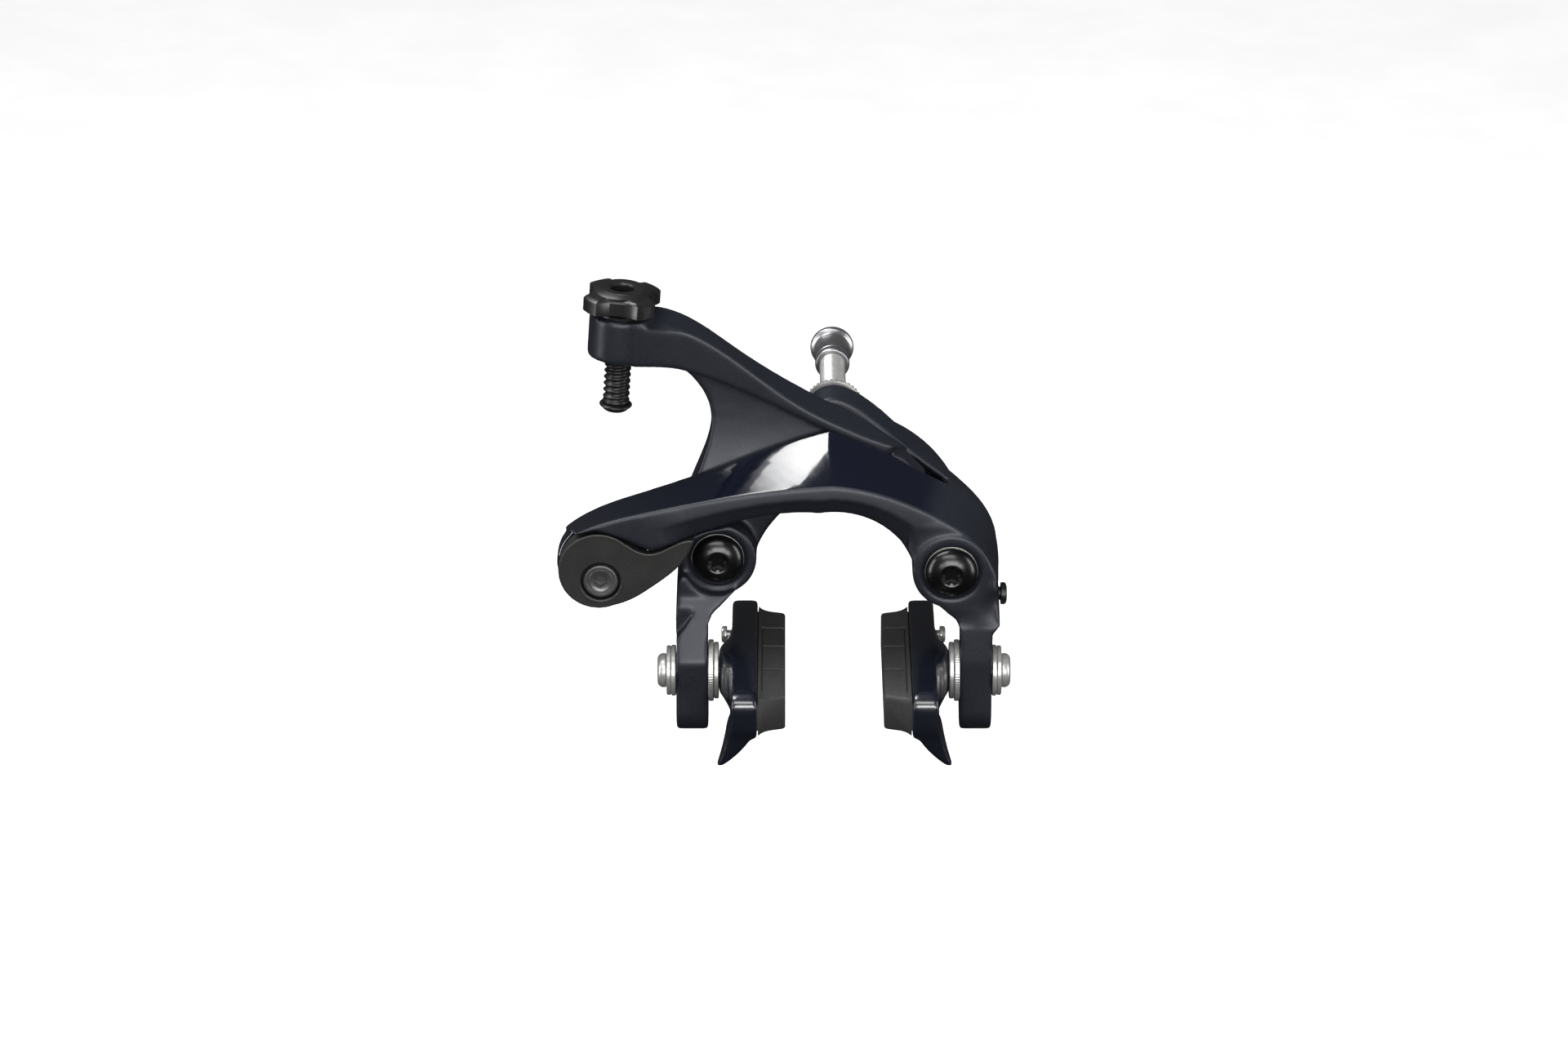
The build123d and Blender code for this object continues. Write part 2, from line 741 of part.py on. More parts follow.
# Return spring: a coil about the left neck, with one end on the bridge and one on the arm

with BuildPart() as return_spring:
    with BuildLine():
        coil = Helix(
            SPRING_PITCH,
            SPRING_PITCH * SPRING_TURNS,
            SPRING_COIL,
            center=(-PIVOT_X, -BAND_REAR + 0.9, PIVOT_Z),
            direction=(0, 1, 0),
        )
    with BuildSketch(Plane(coil @ 0, z_dir=coil % 0)):
        Circle(SPRING_WIRE)
    sweep(path=coil)
    for end, outward in ((0, -1), (1, 1)):
        with BuildSketch(Plane(coil @ end, z_dir=(outward, 0, 0))):
            Circle(SPRING_WIRE)
        extrude(amount=SPRING_LEG)
finish(return_spring.part, "return_spring")


# Sync roller between the arms

finish(disc(18.2, 24.0, ROLLER_RADIUS, ROLLER_PIN + RUNNING_PLAY, ROLLER_X, ROLLER_Z), "sync_roller")
finish(disc(13.0, 30.0, ROLLER_PIN, x=ROLLER_X, z=ROLLER_Z), "sync_roller_pin")


# Quick-release lever and cable anchor

with BuildPart() as quick_release_lever:
    add(disc(LEVER_REAR, LEVER_FRONT, LEVER_RADIUS, x=LEVER_X, z=LEVER_Z))
    add(disc(HUB_END, LEVER_REAR, HUB_RADIUS, x=LEVER_X, z=LEVER_Z))
    with BuildSketch(front_plane(TAIL_REAR)):
        with BuildLine():
            Spline((-46.0, -18.2), (-43.4, -19.9), (-41.0, -20.4), (-38.0, -19.5), (-31.2, -17.2))
            Spline((-31.2, -17.2), (-34.5, -23.3), (-40.4, -28.3), (-45.0, -31.3), (-49.5, -32.9))
            Line((-49.5, -32.9), (-46.0, -18.2))
        make_face()
    extrude(amount=LEVER_FRONT - TAIL_REAR)
    add(
        disc(ANCHOR_HEAD_REAR - 0.1, CLEAR_DEPTH, ANCHOR_POCKET, x=ANCHOR_X, z=ANCHOR_Z),
        mode=Mode.SUBTRACT,
    )
    add(
        disc(0, CLEAR_DEPTH, ANCHOR_RADIUS + RUNNING_PLAY, x=ANCHOR_X, z=ANCHOR_Z),
        mode=Mode.SUBTRACT,
    )
finish(quick_release_lever.part, "quick_release_lever")

finish(
    disc(PLATE_FRONT + FIT_GAP, LEVER_REAR - FIT_GAP, 8.0, HUB_RADIUS + 0.1, LEVER_X, LEVER_Z),
    "lever_friction_washer",
)
finish(disc(25.7, BEAM_REAR + 0.4, 7.6, HUB_RADIUS, LEVER_X, LEVER_Z), "lever_retaining_ring")

with BuildPart() as anchor_bolt:
    add(disc(ANCHOR_TIP, ANCHOR_HEAD_REAR, ANCHOR_RADIUS, x=ANCHOR_X, z=ANCHOR_Z))
    add(disc(ANCHOR_HEAD_REAR, LEVER_FRONT + 0.1, ANCHOR_HEAD, x=ANCHOR_X, z=ANCHOR_Z))
    with BuildSketch(front_plane(LEVER_FRONT + 0.1)):
        with Locations((ANCHOR_X, ANCHOR_Z)):
            RegularPolygon(1.5, 6, major_radius=False)
    extrude(amount=-1.6, mode=Mode.SUBTRACT)
finish(anchor_bolt.part, "anchor_bolt")

with BuildPart() as clamp_plate:
    with BuildSketch(front_plane(CLAMP_FRONT - CLAMP_THICKNESS)):
        with Locations((ANCHOR_X, ANCHOR_Z)):
            Circle(4.6)
            Rectangle(9.2, 6.0)
            Circle(ANCHOR_RADIUS + RUNNING_PLAY, mode=Mode.SUBTRACT)
    extrude(amount=CLAMP_THICKNESS)
    # Groove that the cable lies in
    with BuildSketch(front_plane(CLAMP_FRONT - 0.4)):
        with Locations((ANCHOR_X + 3.4, ANCHOR_Z)):
            Rectangle(1.6, 12.0)
    extrude(amount=1.0, mode=Mode.SUBTRACT)
finish(clamp_plate.part, "cable_clamp_plate")

with BuildPart() as anchor_nut:
    with BuildSketch(front_plane(ANCHOR_NUT_REAR)):
        with Locations((ANCHOR_X, ANCHOR_Z)):
            RegularPolygon(4.0, 6, major_radius=False)
            Circle(ANCHOR_RADIUS + RUNNING_PLAY, mode=Mode.SUBTRACT)
    extrude(amount=CLAMP_FRONT - CLAMP_THICKNESS - ANCHOR_NUT_REAR)
finish(anchor_nut.part, "anchor_nut")


# Barrel adjuster

with BuildPart() as barrel:
    thread_rings = int((BARREL_TOP - BARREL_BOTTOM - 4.0) / THREAD_PITCH)
    add(adjuster_disc(BARREL_BOTTOM, BARREL_TOP, BARREL_RADIUS))
    for ring in range(thread_rings):
        ring_bottom = BARREL_BOTTOM + 2.4 + ring * THREAD_PITCH
        add(
            adjuster_disc(ring_bottom, ring_bottom + 0.6, BARREL_RADIUS + 1, BARREL_RADIUS - 0.4),
            mode=Mode.SUBTRACT,
        )
    add(adjuster_disc(BARREL_BOTTOM - 1, BARREL_TOP + 1, 1.2), mode=Mode.SUBTRACT)
    # Groove of the retaining ring
    ring_seat = BARREL_RADIUS - 0.5
    add(
        adjuster_disc(BARREL_BOTTOM + 0.9, BARREL_BOTTOM + 1.7, BARREL_RADIUS + 1, ring_seat),
        mode=Mode.SUBTRACT,
    )
finish(barrel.part, "adjuster_barrel")

finish(
    adjuster_disc(BARREL_BOTTOM + 0.95, BARREL_BOTTOM + 1.65, 3.65, BARREL_RADIUS - 0.48),
    "barrel_retaining_ring",
)
finish(
    adjuster_disc(0.2, BOSS_HEIGHT, INSERT_RADIUS, BARREL_RADIUS + RUNNING_PLAY),
    "adjuster_insert",
)
finish(
    adjuster_disc(BOSS_HEIGHT + FIT_GAP, BOSS_HEIGHT + 0.65, 5.6, BARREL_RADIUS + 0.2),
    "adjuster_detent_ring",
)

with BuildPart() as knob:
    with BuildSketch(adjuster_plane.offset(KNOB_BOTTOM)):
        Circle(KNOB_RADIUS)
        with PolarLocations(KNOB_RADIUS + SCALLOP_OUTSET, 4, start_angle=0):
            Circle(SCALLOP_RADIUS, mode=Mode.SUBTRACT)
    extrude(amount=KNOB_HEIGHT)
    knob_top = KNOB_BOTTOM + KNOB_HEIGHT
    add(adjuster_disc(KNOB_BOTTOM, knob_top, 6.2))
    add(adjuster_disc(knob_top, knob_top + KNOB_COLLAR, 5.0))
    add(
        adjuster_disc(KNOB_BOTTOM, HOUSING_SEAT, BARREL_RADIUS + RUNNING_PLAY),
        mode=Mode.SUBTRACT,
    )
    add(adjuster_disc(HOUSING_SEAT, knob_top + 2, HOUSING_RADIUS), mode=Mode.SUBTRACT)
finish(knob.part, "adjuster_knob")


# Centring screw on the right flank

with BuildPart() as centring_screw:
    add(cross_disc(CENTRING_TIP, CENTRING_HEAD, 1.5, y=CENTRING_Y, z=CENTRING_Z))
    add(cross_disc(CENTRING_HEAD, CENTRING_END, 2.5, y=CENTRING_Y, z=CENTRING_Z))
    with BuildSketch(side_plane(CENTRING_END)):
        with Locations((CENTRING_Y, CENTRING_Z)):
            RegularPolygon(1.0, 6, major_radius=False)
    extrude(amount=-1.0, mode=Mode.SUBTRACT)
finish(centring_screw.part, "centring_screw")


# Brake shoes. Each piece is made for the right side and mirrored for the left.


def shoe_ring(x_start, x_end, radius, hole):
    """Ring on the shoe bolt's axis."""
    return cross_disc(x_start, x_end, radius, hole, -SHOE_DEPTH, -REACH)


def make_holder():
    """Shoe holder: a channel for the pad, a hub for the bolt and a fin that guides the wheel."""
    with BuildPart() as holder:
        with BuildSketch(side_plane(HOLDER_LIP)):
            with Locations((-SHOE_DEPTH + HOLDER_SHIFT, -REACH)):
                RectangleRounded(HOLDER_LENGTH, HOLDER_HEIGHT, 3.4)
        extrude(amount=HOLDER_BACK - HOLDER_LIP)
        with BuildSketch(side_plane(HOLDER_BACK)):
            with Locations((-SHOE_DEPTH, -REACH)):
                Ellipse(18.4, HOLDER_HEIGHT / 2)
        with BuildSketch(side_plane(HOLDER_HUB)):
            with Locations((-SHOE_DEPTH, -REACH)):
                Circle(HOLDER_HEIGHT / 2 - 0.6)
        loft()
        # Fin at the front end, that leans outwards and down to a blunt tip
        fin_y = -SHOE_DEPTH - HOLDER_LENGTH / 2 + 7.0
        for height, out, back, width, length in (
            (-REACH - HOLDER_HEIGHT / 2 + 2.4, 20.5, 0.0, 6.4, 10.0),
            (-REACH - HOLDER_HEIGHT / 2 - 2.6, 22.6, -1.2, 4.4, 6.4),
            (-REACH - HOLDER_HEIGHT / 2 - 6.8, 25.6, -2.6, 1.5, 2.4),
        ):
            with BuildSketch(Plane.XY.offset(height)):
                with Locations((out, fin_y + back)):
                    RectangleRounded(width, length, 0.6)
        loft()
        # Channel for the pad's tongue, open at the rear end, and the bolt's thread
        with BuildSketch(side_plane(HOLDER_LIP)):
            with Locations((-SHOE_DEPTH + HOLDER_SHIFT + 2.0, -REACH)):
                Rectangle(HOLDER_LENGTH, PAD_TONGUE + 0.2)
        extrude(amount=CHANNEL_BACK - HOLDER_LIP, mode=Mode.SUBTRACT)
        add(shoe_ring(20.0, 30.0, SHOE_BOLT_RADIUS + RUNNING_PLAY, 0), mode=Mode.SUBTRACT)
        add(
            cross_disc(20.0, 30.0, 1.05, y=-PAD_SCREW_DEPTH, z=PAD_SCREW_Z),
            mode=Mode.SUBTRACT,
        )
    return holder.part


def make_pad():
    """Rubber pad with a tongue for the holder, water grooves and a slight hollow on top."""
    with BuildPart() as pad:
        with BuildSketch(side_plane(PAD_FACE)):
            with Locations((-SHOE_DEPTH, -REACH)):
                RectangleRounded(PAD_LENGTH, PAD_HEIGHT, 1.2)
        extrude(amount=HOLDER_LIP - 0.1 - PAD_FACE)
        with BuildSketch(side_plane(HOLDER_LIP - 0.1)):
            with Locations((-SHOE_DEPTH + 0.2, -REACH)):
                Rectangle(PAD_LENGTH - 1.0, PAD_TONGUE)
        extrude(amount=CHANNEL_BACK - HOLDER_LIP)
        with BuildSketch(side_plane(PAD_FACE)):
            with Locations(
                (-SHOE_DEPTH - 9.0, -REACH),
                (-SHOE_DEPTH + 3.5, -REACH),
                (-SHOE_DEPTH + 13.5, -REACH),
            ):
                Rectangle(GROOVE_WIDTH, PAD_HEIGHT + 2)
        extrude(amount=GROOVE_DEPTH, mode=Mode.SUBTRACT)
    return pad.part


def make_shoe_bolt():
    """Shoe bolt: button head with a hex recess outside the leg, shank into the holder."""
    with BuildPart() as bolt:
        add(shoe_ring(SHOE_BOLT_TIP, SHOE_HEAD_START, SHOE_BOLT_RADIUS, 0))
        add(shoe_ring(SHOE_HEAD_START, SHOE_HEAD_END, SHOE_HEAD_RADIUS, 0))
        with BuildSketch(side_plane(SHOE_HEAD_END)):
            with Locations((-SHOE_DEPTH, -REACH)):
                RegularPolygon(2.0, 6, major_radius=False)
        extrude(amount=-1.5, mode=Mode.SUBTRACT)
    return bolt.part


def make_pad_screw():
    """Small screw that keeps the pad in its channel."""
    head_start = HOLDER_BACK + PAD_SCREW_STAND
    head_end = head_start + PAD_SCREW_HEAD
    with BuildPart() as screw:
        add(cross_disc(CHANNEL_BACK + 0.1, head_start, 1.0, y=-PAD_SCREW_DEPTH, z=PAD_SCREW_Z))
        add(cross_disc(head_start, head_end, 1.9, y=-PAD_SCREW_DEPTH, z=PAD_SCREW_Z))
        with BuildSketch(side_plane(head_end)):
            with Locations((-PAD_SCREW_DEPTH, PAD_SCREW_Z)):
                RegularPolygon(0.9, 6, major_radius=False)
        extrude(amount=-0.8, mode=Mode.SUBTRACT)
    return screw.part


bolt_clear = SHOE_BOLT_RADIUS + 0.1
shoe_pieces = {
    "shoe_holder": make_holder(),
    "brake_pad": make_pad(),
    "shoe_bolt": make_shoe_bolt(),
    "pad_screw": make_pad_screw(),
    "inner_dished_washer": shoe_ring(HOLDER_HUB + 0.02, 26.9, 6.4, bolt_clear),
    "inner_serrated_washer": shoe_ring(26.95, LEG_INNER - FIT_GAP, 7.2, bolt_clear),
    "outer_serrated_washer": shoe_ring(LEG_OUTER + FIT_GAP, 36.5, 6.0, bolt_clear),
    "outer_flat_washer": shoe_ring(36.55, SHOE_HEAD_START - FIT_GAP, 5.6, bolt_clear),
}
for piece_name, piece in shoe_pieces.items():
    left_piece = mirrored(piece)
    finish(piece, f"right_{piece_name}")
    finish(left_piece, f"left_{piece_name}")
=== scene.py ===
import json
import math

import bmesh
import bpy
import numpy as np
from mathutils import Matrix, Vector
from mathutils.kdtree import KDTree


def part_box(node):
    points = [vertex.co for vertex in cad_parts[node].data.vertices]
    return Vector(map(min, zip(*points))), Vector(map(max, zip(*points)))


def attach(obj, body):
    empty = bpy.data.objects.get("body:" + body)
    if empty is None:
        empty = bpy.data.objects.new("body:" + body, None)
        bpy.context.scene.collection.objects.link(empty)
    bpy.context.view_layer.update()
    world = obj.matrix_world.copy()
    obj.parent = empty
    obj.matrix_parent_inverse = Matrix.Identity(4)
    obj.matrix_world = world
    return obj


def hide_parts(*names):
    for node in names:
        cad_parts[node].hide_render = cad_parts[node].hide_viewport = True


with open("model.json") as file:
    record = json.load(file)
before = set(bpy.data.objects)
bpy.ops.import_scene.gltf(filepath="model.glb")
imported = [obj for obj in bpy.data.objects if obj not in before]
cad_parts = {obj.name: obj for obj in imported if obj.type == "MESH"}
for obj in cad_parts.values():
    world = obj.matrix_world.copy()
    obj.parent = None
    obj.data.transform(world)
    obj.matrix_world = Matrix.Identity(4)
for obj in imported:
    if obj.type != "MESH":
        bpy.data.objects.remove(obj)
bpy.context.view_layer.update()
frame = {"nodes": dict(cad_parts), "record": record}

MM = 0.001
TAU = 2 * math.pi
record = frame["record"]
slot_of = {part["node"]: part["material_slot"] for part in record["subparts"]}
body_of = {node: body for body, nodes in record["behaviour"]["bodies"].items() for node in nodes}
joints = {joint["name"]: joint for joint in record["behaviour"]["joints"]}


# ---------------------------------------------------------------- materials


NOISE_DETAIL = 3.0
NOISE_ROUGHNESS = 0.55
CLOUD_MM = 9.0  # width of the slow drift in roughness
GRAIN_RANGE = (0.3, 0.72)  # noise values between which the colour goes from dark to light
CLOUD_RANGE = (0.3, 0.7)  # noise values between which the roughness drifts
RANGE_SOCKETS = ("From Min", "From Max", "To Min", "To Max")


class Surface:
    """A procedural Principled material, built from noises in the part's own coordinates."""

    def __init__(self, name, **sockets):
        self.material = bpy.data.materials.new(name)
        self.material.use_nodes = True
        self.tree = self.material.node_tree
        self.tree.nodes.clear()
        self.shader = self.node("ShaderNodeBsdfPrincipled")
        output = self.node("ShaderNodeOutputMaterial")
        self.link(self.shader.outputs[0], output.inputs["Surface"])
        self.place = self.node("ShaderNodeTexCoord").outputs["Object"]
        for socket, value in sockets.items():
            self.shader.inputs[socket.replace("_", " ")].default_value = value

    def node(self, kind, **settings):
        made = self.tree.nodes.new(kind)
        for key, value in settings.items():
            setattr(made, key, value)
        return made

    def link(self, a, b):
        self.tree.links.new(a, b)

    def feed(self, socket, value):
        """Sets a socket to a number or a colour, or links another node's output to it."""
        if isinstance(value, tuple):
            socket.default_value = (*value, 1)
        elif isinstance(value, (int, float)):
            socket.default_value = value
        else:
            self.link(value, socket)

    def noise(self, size_mm):
        """Noise whose features are about size_mm wide, from 0 to 1."""
        mapping = self.node("ShaderNodeMapping")
        mapping.inputs["Scale"].default_value = [1 / (size_mm * MM)] * 3
        self.link(self.place, mapping.inputs["Vector"])
        texture = self.node("ShaderNodeTexNoise")
        texture.inputs["Scale"].default_value = 1.0
        texture.inputs["Detail"].default_value = NOISE_DETAIL
        texture.inputs["Roughness"].default_value = NOISE_ROUGHNESS
        self.link(mapping.outputs["Vector"], texture.inputs["Vector"])
        return texture.outputs["Fac"]

    def remap(self, value, low, high, out_low, out_high):
        """Value from low..high to out_low..out_high, clamped."""
        mapped = self.node("ShaderNodeMapRange", interpolation_type="SMOOTHSTEP")
        for socket, number in zip(RANGE_SOCKETS, (low, high, out_low, out_high)):
            mapped.inputs[socket].default_value = number
        self.link(value, mapped.inputs["Value"])
        return mapped.outputs["Result"]

    def math(self, operation, a, b):
        made = self.node("ShaderNodeMath", operation=operation)
        self.feed(made.inputs[0], a)
        self.feed(made.inputs[1], b)
        return made.outputs[0]

    def mix(self, kind, factor, a, b, first, result):
        """Mix node, whose inputs for this kind of data start at first and whose output is result."""
        made = self.node("ShaderNodeMix", data_type=kind)
        self.link(factor, made.inputs["Factor"])
        self.feed(made.inputs[first], a)
        self.feed(made.inputs[first + 1], b)
        return made.outputs[result]

    def mix_colour(self, factor, a, b):
        return self.mix("RGBA", factor, a, b, first=6, result=2)

    def mix_value(self, factor, a, b):
        return self.mix("FLOAT", factor, a, b, first=2, result=0)

    def bump(self, height, depth_mm):
        made = self.node("ShaderNodeBump")
        made.inputs["Distance"].default_value = depth_mm * MM
        made.inputs["Strength"].default_value = 1.0
        self.link(height, made.inputs["Height"])
        self.link(made.outputs["Normal"], self.shader.inputs["Normal"])

    def drive(self, socket, value):
        self.link(value, self.shader.inputs[socket])


def grained(name, dark, light, grain, rough, swing, relief, **sockets):
    """A finish with a fine grain in colour and relief, and a slow drift in roughness.
    Grain and relief are in mm."""
    surface = Surface(name, **sockets)
    fine = surface.noise(grain)
    slow = surface.noise(CLOUD_MM)
    shade = surface.remap(fine, *GRAIN_RANGE, 0, 1)
    surface.drive("Base Color", surface.mix_colour(shade, dark, light))
    drift = surface.remap(slow, *CLOUD_RANGE, rough - swing, rough + swing)
    spread = surface.remap(fine, *CLOUD_RANGE, -0.5 * swing, 0.5 * swing)
    surface.drive("Roughness", surface.math("ADD", drift, spread))
    surface.bump(fine, relief)
    return surface


SATIN_DARK, SATIN_LIGHT = (0.0085, 0.0100, 0.0150), (0.0180, 0.0205, 0.0285)
GLOSS_DARK, GLOSS_LIGHT = (0.0022, 0.0030, 0.0068), (0.0040, 0.0052, 0.0105)
SATIN_GRAIN = 0.22
SATIN_ROUGH = 0.40
SATIN_SWING = 0.03
SATIN_METAL = 0.35
SATIN_RELIEF = 0.0045

FINISHES = {
    "satin_navy": dict(
        dark=SATIN_DARK, light=SATIN_LIGHT, grain=SATIN_GRAIN, rough=SATIN_ROUGH, swing=SATIN_SWING,
        relief=SATIN_RELIEF, Metallic=SATIN_METAL, Specular_IOR_Level=0.5,
    ),
    "gloss_navy": dict(
        dark=GLOSS_DARK, light=GLOSS_LIGHT, grain=0.25, rough=0.30, swing=0.03, relief=0.001,
        Coat_Weight=1.0, Coat_Roughness=0.12, Coat_IOR=1.5,
    ),
    "lever_grey": dict(
        dark=(0.020, 0.020, 0.0195), light=(0.040, 0.040, 0.039), grain=0.22, rough=0.40, swing=0.04,
        relief=0.005, Metallic=0.5, Specular_IOR_Level=0.5,
    ),
    "gloss_black": dict(
        dark=(0.0012, 0.0012, 0.0014), light=(0.0022, 0.0022, 0.0024), grain=0.4, rough=0.30, swing=0.03,
        relief=0.0003, Coat_Weight=0.4, Coat_Roughness=0.2, Specular_IOR_Level=0.25,
    ),
    "black_steel": dict(
        dark=(0.0060, 0.0060, 0.0068), light=(0.0150, 0.0150, 0.0165), grain=0.25, rough=0.34, swing=0.05,
        relief=0.003, Metallic=0.3,
    ),
    "dark_steel": dict(
        dark=(0.100, 0.100, 0.101), light=(0.150, 0.150, 0.152), grain=0.18, rough=0.36, swing=0.04,
        relief=0.003, Metallic=0.8,
    ),
    "black_plastic": dict(
        dark=(0.0060, 0.0060, 0.0063), light=(0.0115, 0.0115, 0.0120), grain=0.28, rough=0.33, swing=0.05,
        relief=0.004,
    ),
    "steel": dict(
        dark=(0.42, 0.42, 0.41), light=(0.52, 0.52, 0.51), grain=0.5, rough=0.34, swing=0.03,
        relief=0.0008, Metallic=0.70,
    ),
    "spring_steel": dict(
        dark=(0.36, 0.36, 0.37), light=(0.48, 0.48, 0.49), grain=0.15, rough=0.28, swing=0.05,
        relief=0.002, Metallic=1.0,
    ),
    "chrome": dict(
        dark=(0.28, 0.28, 0.29), light=(0.34, 0.34, 0.35), grain=0.5, rough=0.33, swing=0.02,
        relief=0.0003, Metallic=0.92,
    ),
    "brass": dict(
        dark=(0.62, 0.44, 0.20), light=(0.74, 0.54, 0.26), grain=0.2, rough=0.33, swing=0.05,
        relief=0.002, Metallic=1.0,
    ),
    "nylon": dict(
        dark=(0.70, 0.69, 0.64), light=(0.78, 0.77, 0.73), grain=0.35, rough=0.48, swing=0.05,
        relief=0.004, Subsurface_Weight=0.1, Subsurface_Radius=(0.001, 0.001, 0.001),
    ),
    "rubber": dict(
        dark=(0.0100, 0.0100, 0.0100), light=(0.0210, 0.0210, 0.0210), grain=0.30, rough=0.55, swing=0.06,
        relief=0.012, Specular_IOR_Level=0.45, Sheen_Weight=0.03, Sheen_Roughness=0.5,
    ),
}
surfaces = {slot: grained(slot, **finish) for slot, finish in FINISHES.items()}

FACET_EDGE = 0.05  # half the width of the step between satin and gloss, in mm
FACET_ROUGH = 0.12
FACET_RELIEF_SHARE = 0.05  # what is left of the satin's relief under the gloss


def two_finish_arm():
    """The front arm's finish: satin, with a clear gloss coat where the facet attribute is positive."""
    surface = Surface("satin_and_gloss_navy", Specular_IOR_Level=0.5, Coat_Roughness=0.055, Coat_IOR=1.6)
    facet = surface.node("ShaderNodeAttribute", attribute_name="facet").outputs["Fac"]
    gloss = surface.remap(facet, -FACET_EDGE, FACET_EDGE, 0, 1)
    fine = surface.noise(SATIN_GRAIN)
    slow = surface.noise(CLOUD_MM)
    grain = surface.remap(fine, *GRAIN_RANGE, 0, 1)
    satin = surface.mix_colour(grain, SATIN_DARK, SATIN_LIGHT)
    clear = surface.mix_colour(grain, GLOSS_DARK, GLOSS_LIGHT)
    surface.drive("Base Color", surface.mix_colour(gloss, satin, clear))
    surface.drive("Metallic", surface.mix_value(gloss, SATIN_METAL, 0.0))
    satin_rough = surface.remap(slow, *CLOUD_RANGE, SATIN_ROUGH - SATIN_SWING, SATIN_ROUGH + SATIN_SWING)
    surface.drive("Roughness", surface.mix_value(gloss, satin_rough, FACET_ROUGH))
    surface.drive("Coat Weight", gloss)
    relief = surface.mix_value(gloss, fine, surface.math("MULTIPLY", fine, FACET_RELIEF_SHARE))
    surface.bump(relief, SATIN_RELIEF)
    return surface


# ---------------------------------------------------------------- mesh helpers


SHARP_DEGREES = 32.0
SAME_POINT = 1e-7  # vertices closer than this, in metres, are merged


def linked(name, data):
    """A new object in the scene."""
    made = bpy.data.objects.new(name, data)
    bpy.context.scene.collection.objects.link(made)
    return made


def mesh_object(name, verts, faces, sharp_degrees=SHARP_DEGREES):
    mesh = bpy.data.meshes.new(name)
    mesh.from_pydata([tuple(v) for v in verts], [], faces)
    mesh.validate()
    work = bmesh.new()
    work.from_mesh(mesh)
    bmesh.ops.remove_doubles(work, verts=work.verts, dist=SAME_POINT)
    bmesh.ops.recalc_face_normals(work, faces=work.faces)
    work.to_mesh(mesh)
    work.free()
    mesh.shade_smooth()
    mesh.set_sharp_from_angle(angle=math.radians(sharp_degrees))
    return linked(name, mesh)


def paint(piece, surface):
    piece.data.materials.clear()
    piece.data.materials.append(surface.material)


def stand_in(piece, node, surface=None):
    """The piece takes the place, body, slot and finish of a CAD node."""
    slot = slot_of[node]
    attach(piece, body_of[node])
    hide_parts(node)
    paint(piece, surface or surfaces[slot])


def apply_modifiers(piece):
    """Bakes the piece's modifiers into its mesh."""
    graph = bpy.context.evaluated_depsgraph_get()
    mesh = bpy.data.meshes.new_from_object(piece.evaluated_get(graph), depsgraph=graph)
    piece.modifiers.clear()
    piece.data = mesh


def vertex_rows(mesh, what):
    """The places ("co") or normals ("normal") of a mesh's vertices, one row each."""
    values = np.empty(len(mesh.vertices) * 3)
    mesh.vertices.foreach_get(what, values)
    return values.reshape(-1, 3)


def move_vertices(mesh, place):
    mesh.vertices.foreach_set("co", place.ravel())
    mesh.update()


RELAX_PULL = 0.5  # share of the way to its neighbours that a point goes in one step


def relax(mesh, steps, weight=None, swell=0.0):
    """Smooths the mesh, moving each point towards its neighbours. Swell pushes it back out between
    the steps, so that thin pieces keep their size."""
    place = vertex_rows(mesh, "co")
    count = len(place)
    ends = np.empty(len(mesh.edges) * 2, dtype=np.int64)
    mesh.edges.foreach_get("vertices", ends)
    a, b = ends.reshape(-1, 2).T
    degree = np.maximum(np.bincount(a, minlength=count) + np.bincount(b, minlength=count), 1)
    share = 1.0 if weight is None else weight(place)[:, None]

    def neighbour_sum(column):
        return np.bincount(a, column[b], count) + np.bincount(b, column[a], count)

    for _ in range(steps):
        for pull in (RELAX_PULL, -swell):
            if pull:
                total = np.stack([neighbour_sum(place[:, k]) for k in range(3)], axis=1)
                place = place + (total / degree[:, None] - place) * share * pull
    move_vertices(mesh, place)


def forged(node, name, voxel, steps, keep, weight=None, surface=None, swell=0.0, shape=None):
    """A node's shape with its edges rounded over, as a forged or moulded piece has them. It is
    rebuilt from cubes of voxel mm, smoothed in steps and thinned to the share keep of its faces."""
    piece = linked(name, frame["nodes"][node].data.copy())
    remesh = piece.modifiers.new("voxels", "REMESH")
    remesh.mode = "VOXEL"
    remesh.voxel_size = voxel * MM
    apply_modifiers(piece)
    if shape:
        shape(piece.data)
    relax(piece.data, steps, weight, swell)
    thin = piece.modifiers.new("thin", "DECIMATE")
    thin.ratio = keep
    apply_modifiers(piece)
    piece.data.shade_smooth()
    stand_in(piece, node, surface)
    return piece


CORNER_STEPS = 4
CORNER_SHARE = 0.45  # the most that a rounded corner takes of the lines beside it


def round_corners(profile, radius):
    """A profile of (radius, height, shape) points with every corner between its ends rounded."""
    rounded = [profile[0]]
    for before, corner, after in zip(profile, profile[1:], profile[2:]):
        here = Vector(corner[:2])
        to_before = Vector(before[:2]) - here
        to_after = Vector(after[:2]) - here
        reach = min(radius, to_before.length * CORNER_SHARE, to_after.length * CORNER_SHARE)
        if reach < 1e-4:
            rounded.append(corner)
            continue
        start = here + to_before.normalized() * reach
        end = here + to_after.normalized() * reach
        for step in range(CORNER_STEPS + 1):
            t = step / CORNER_STEPS
            point = start * (1 - t) ** 2 + here * 2 * t * (1 - t) + end * t * t
            rounded.append((point.x, point.y, corner[2]))
    rounded.append(profile[-1])
    return rounded


def round_shape(angle):
    return 1.0


def hexagon(angle):
    """Radius of a hexagon with flats at distance 1."""
    turned = (angle + math.pi / 6) % (math.pi / 3) - math.pi / 6
    return 1 / math.cos(turned)


def star(angle):
    """Six-lobed recess."""
    lobes, depth = 6, 0.17
    return 1 + depth * math.cos(lobes * angle)


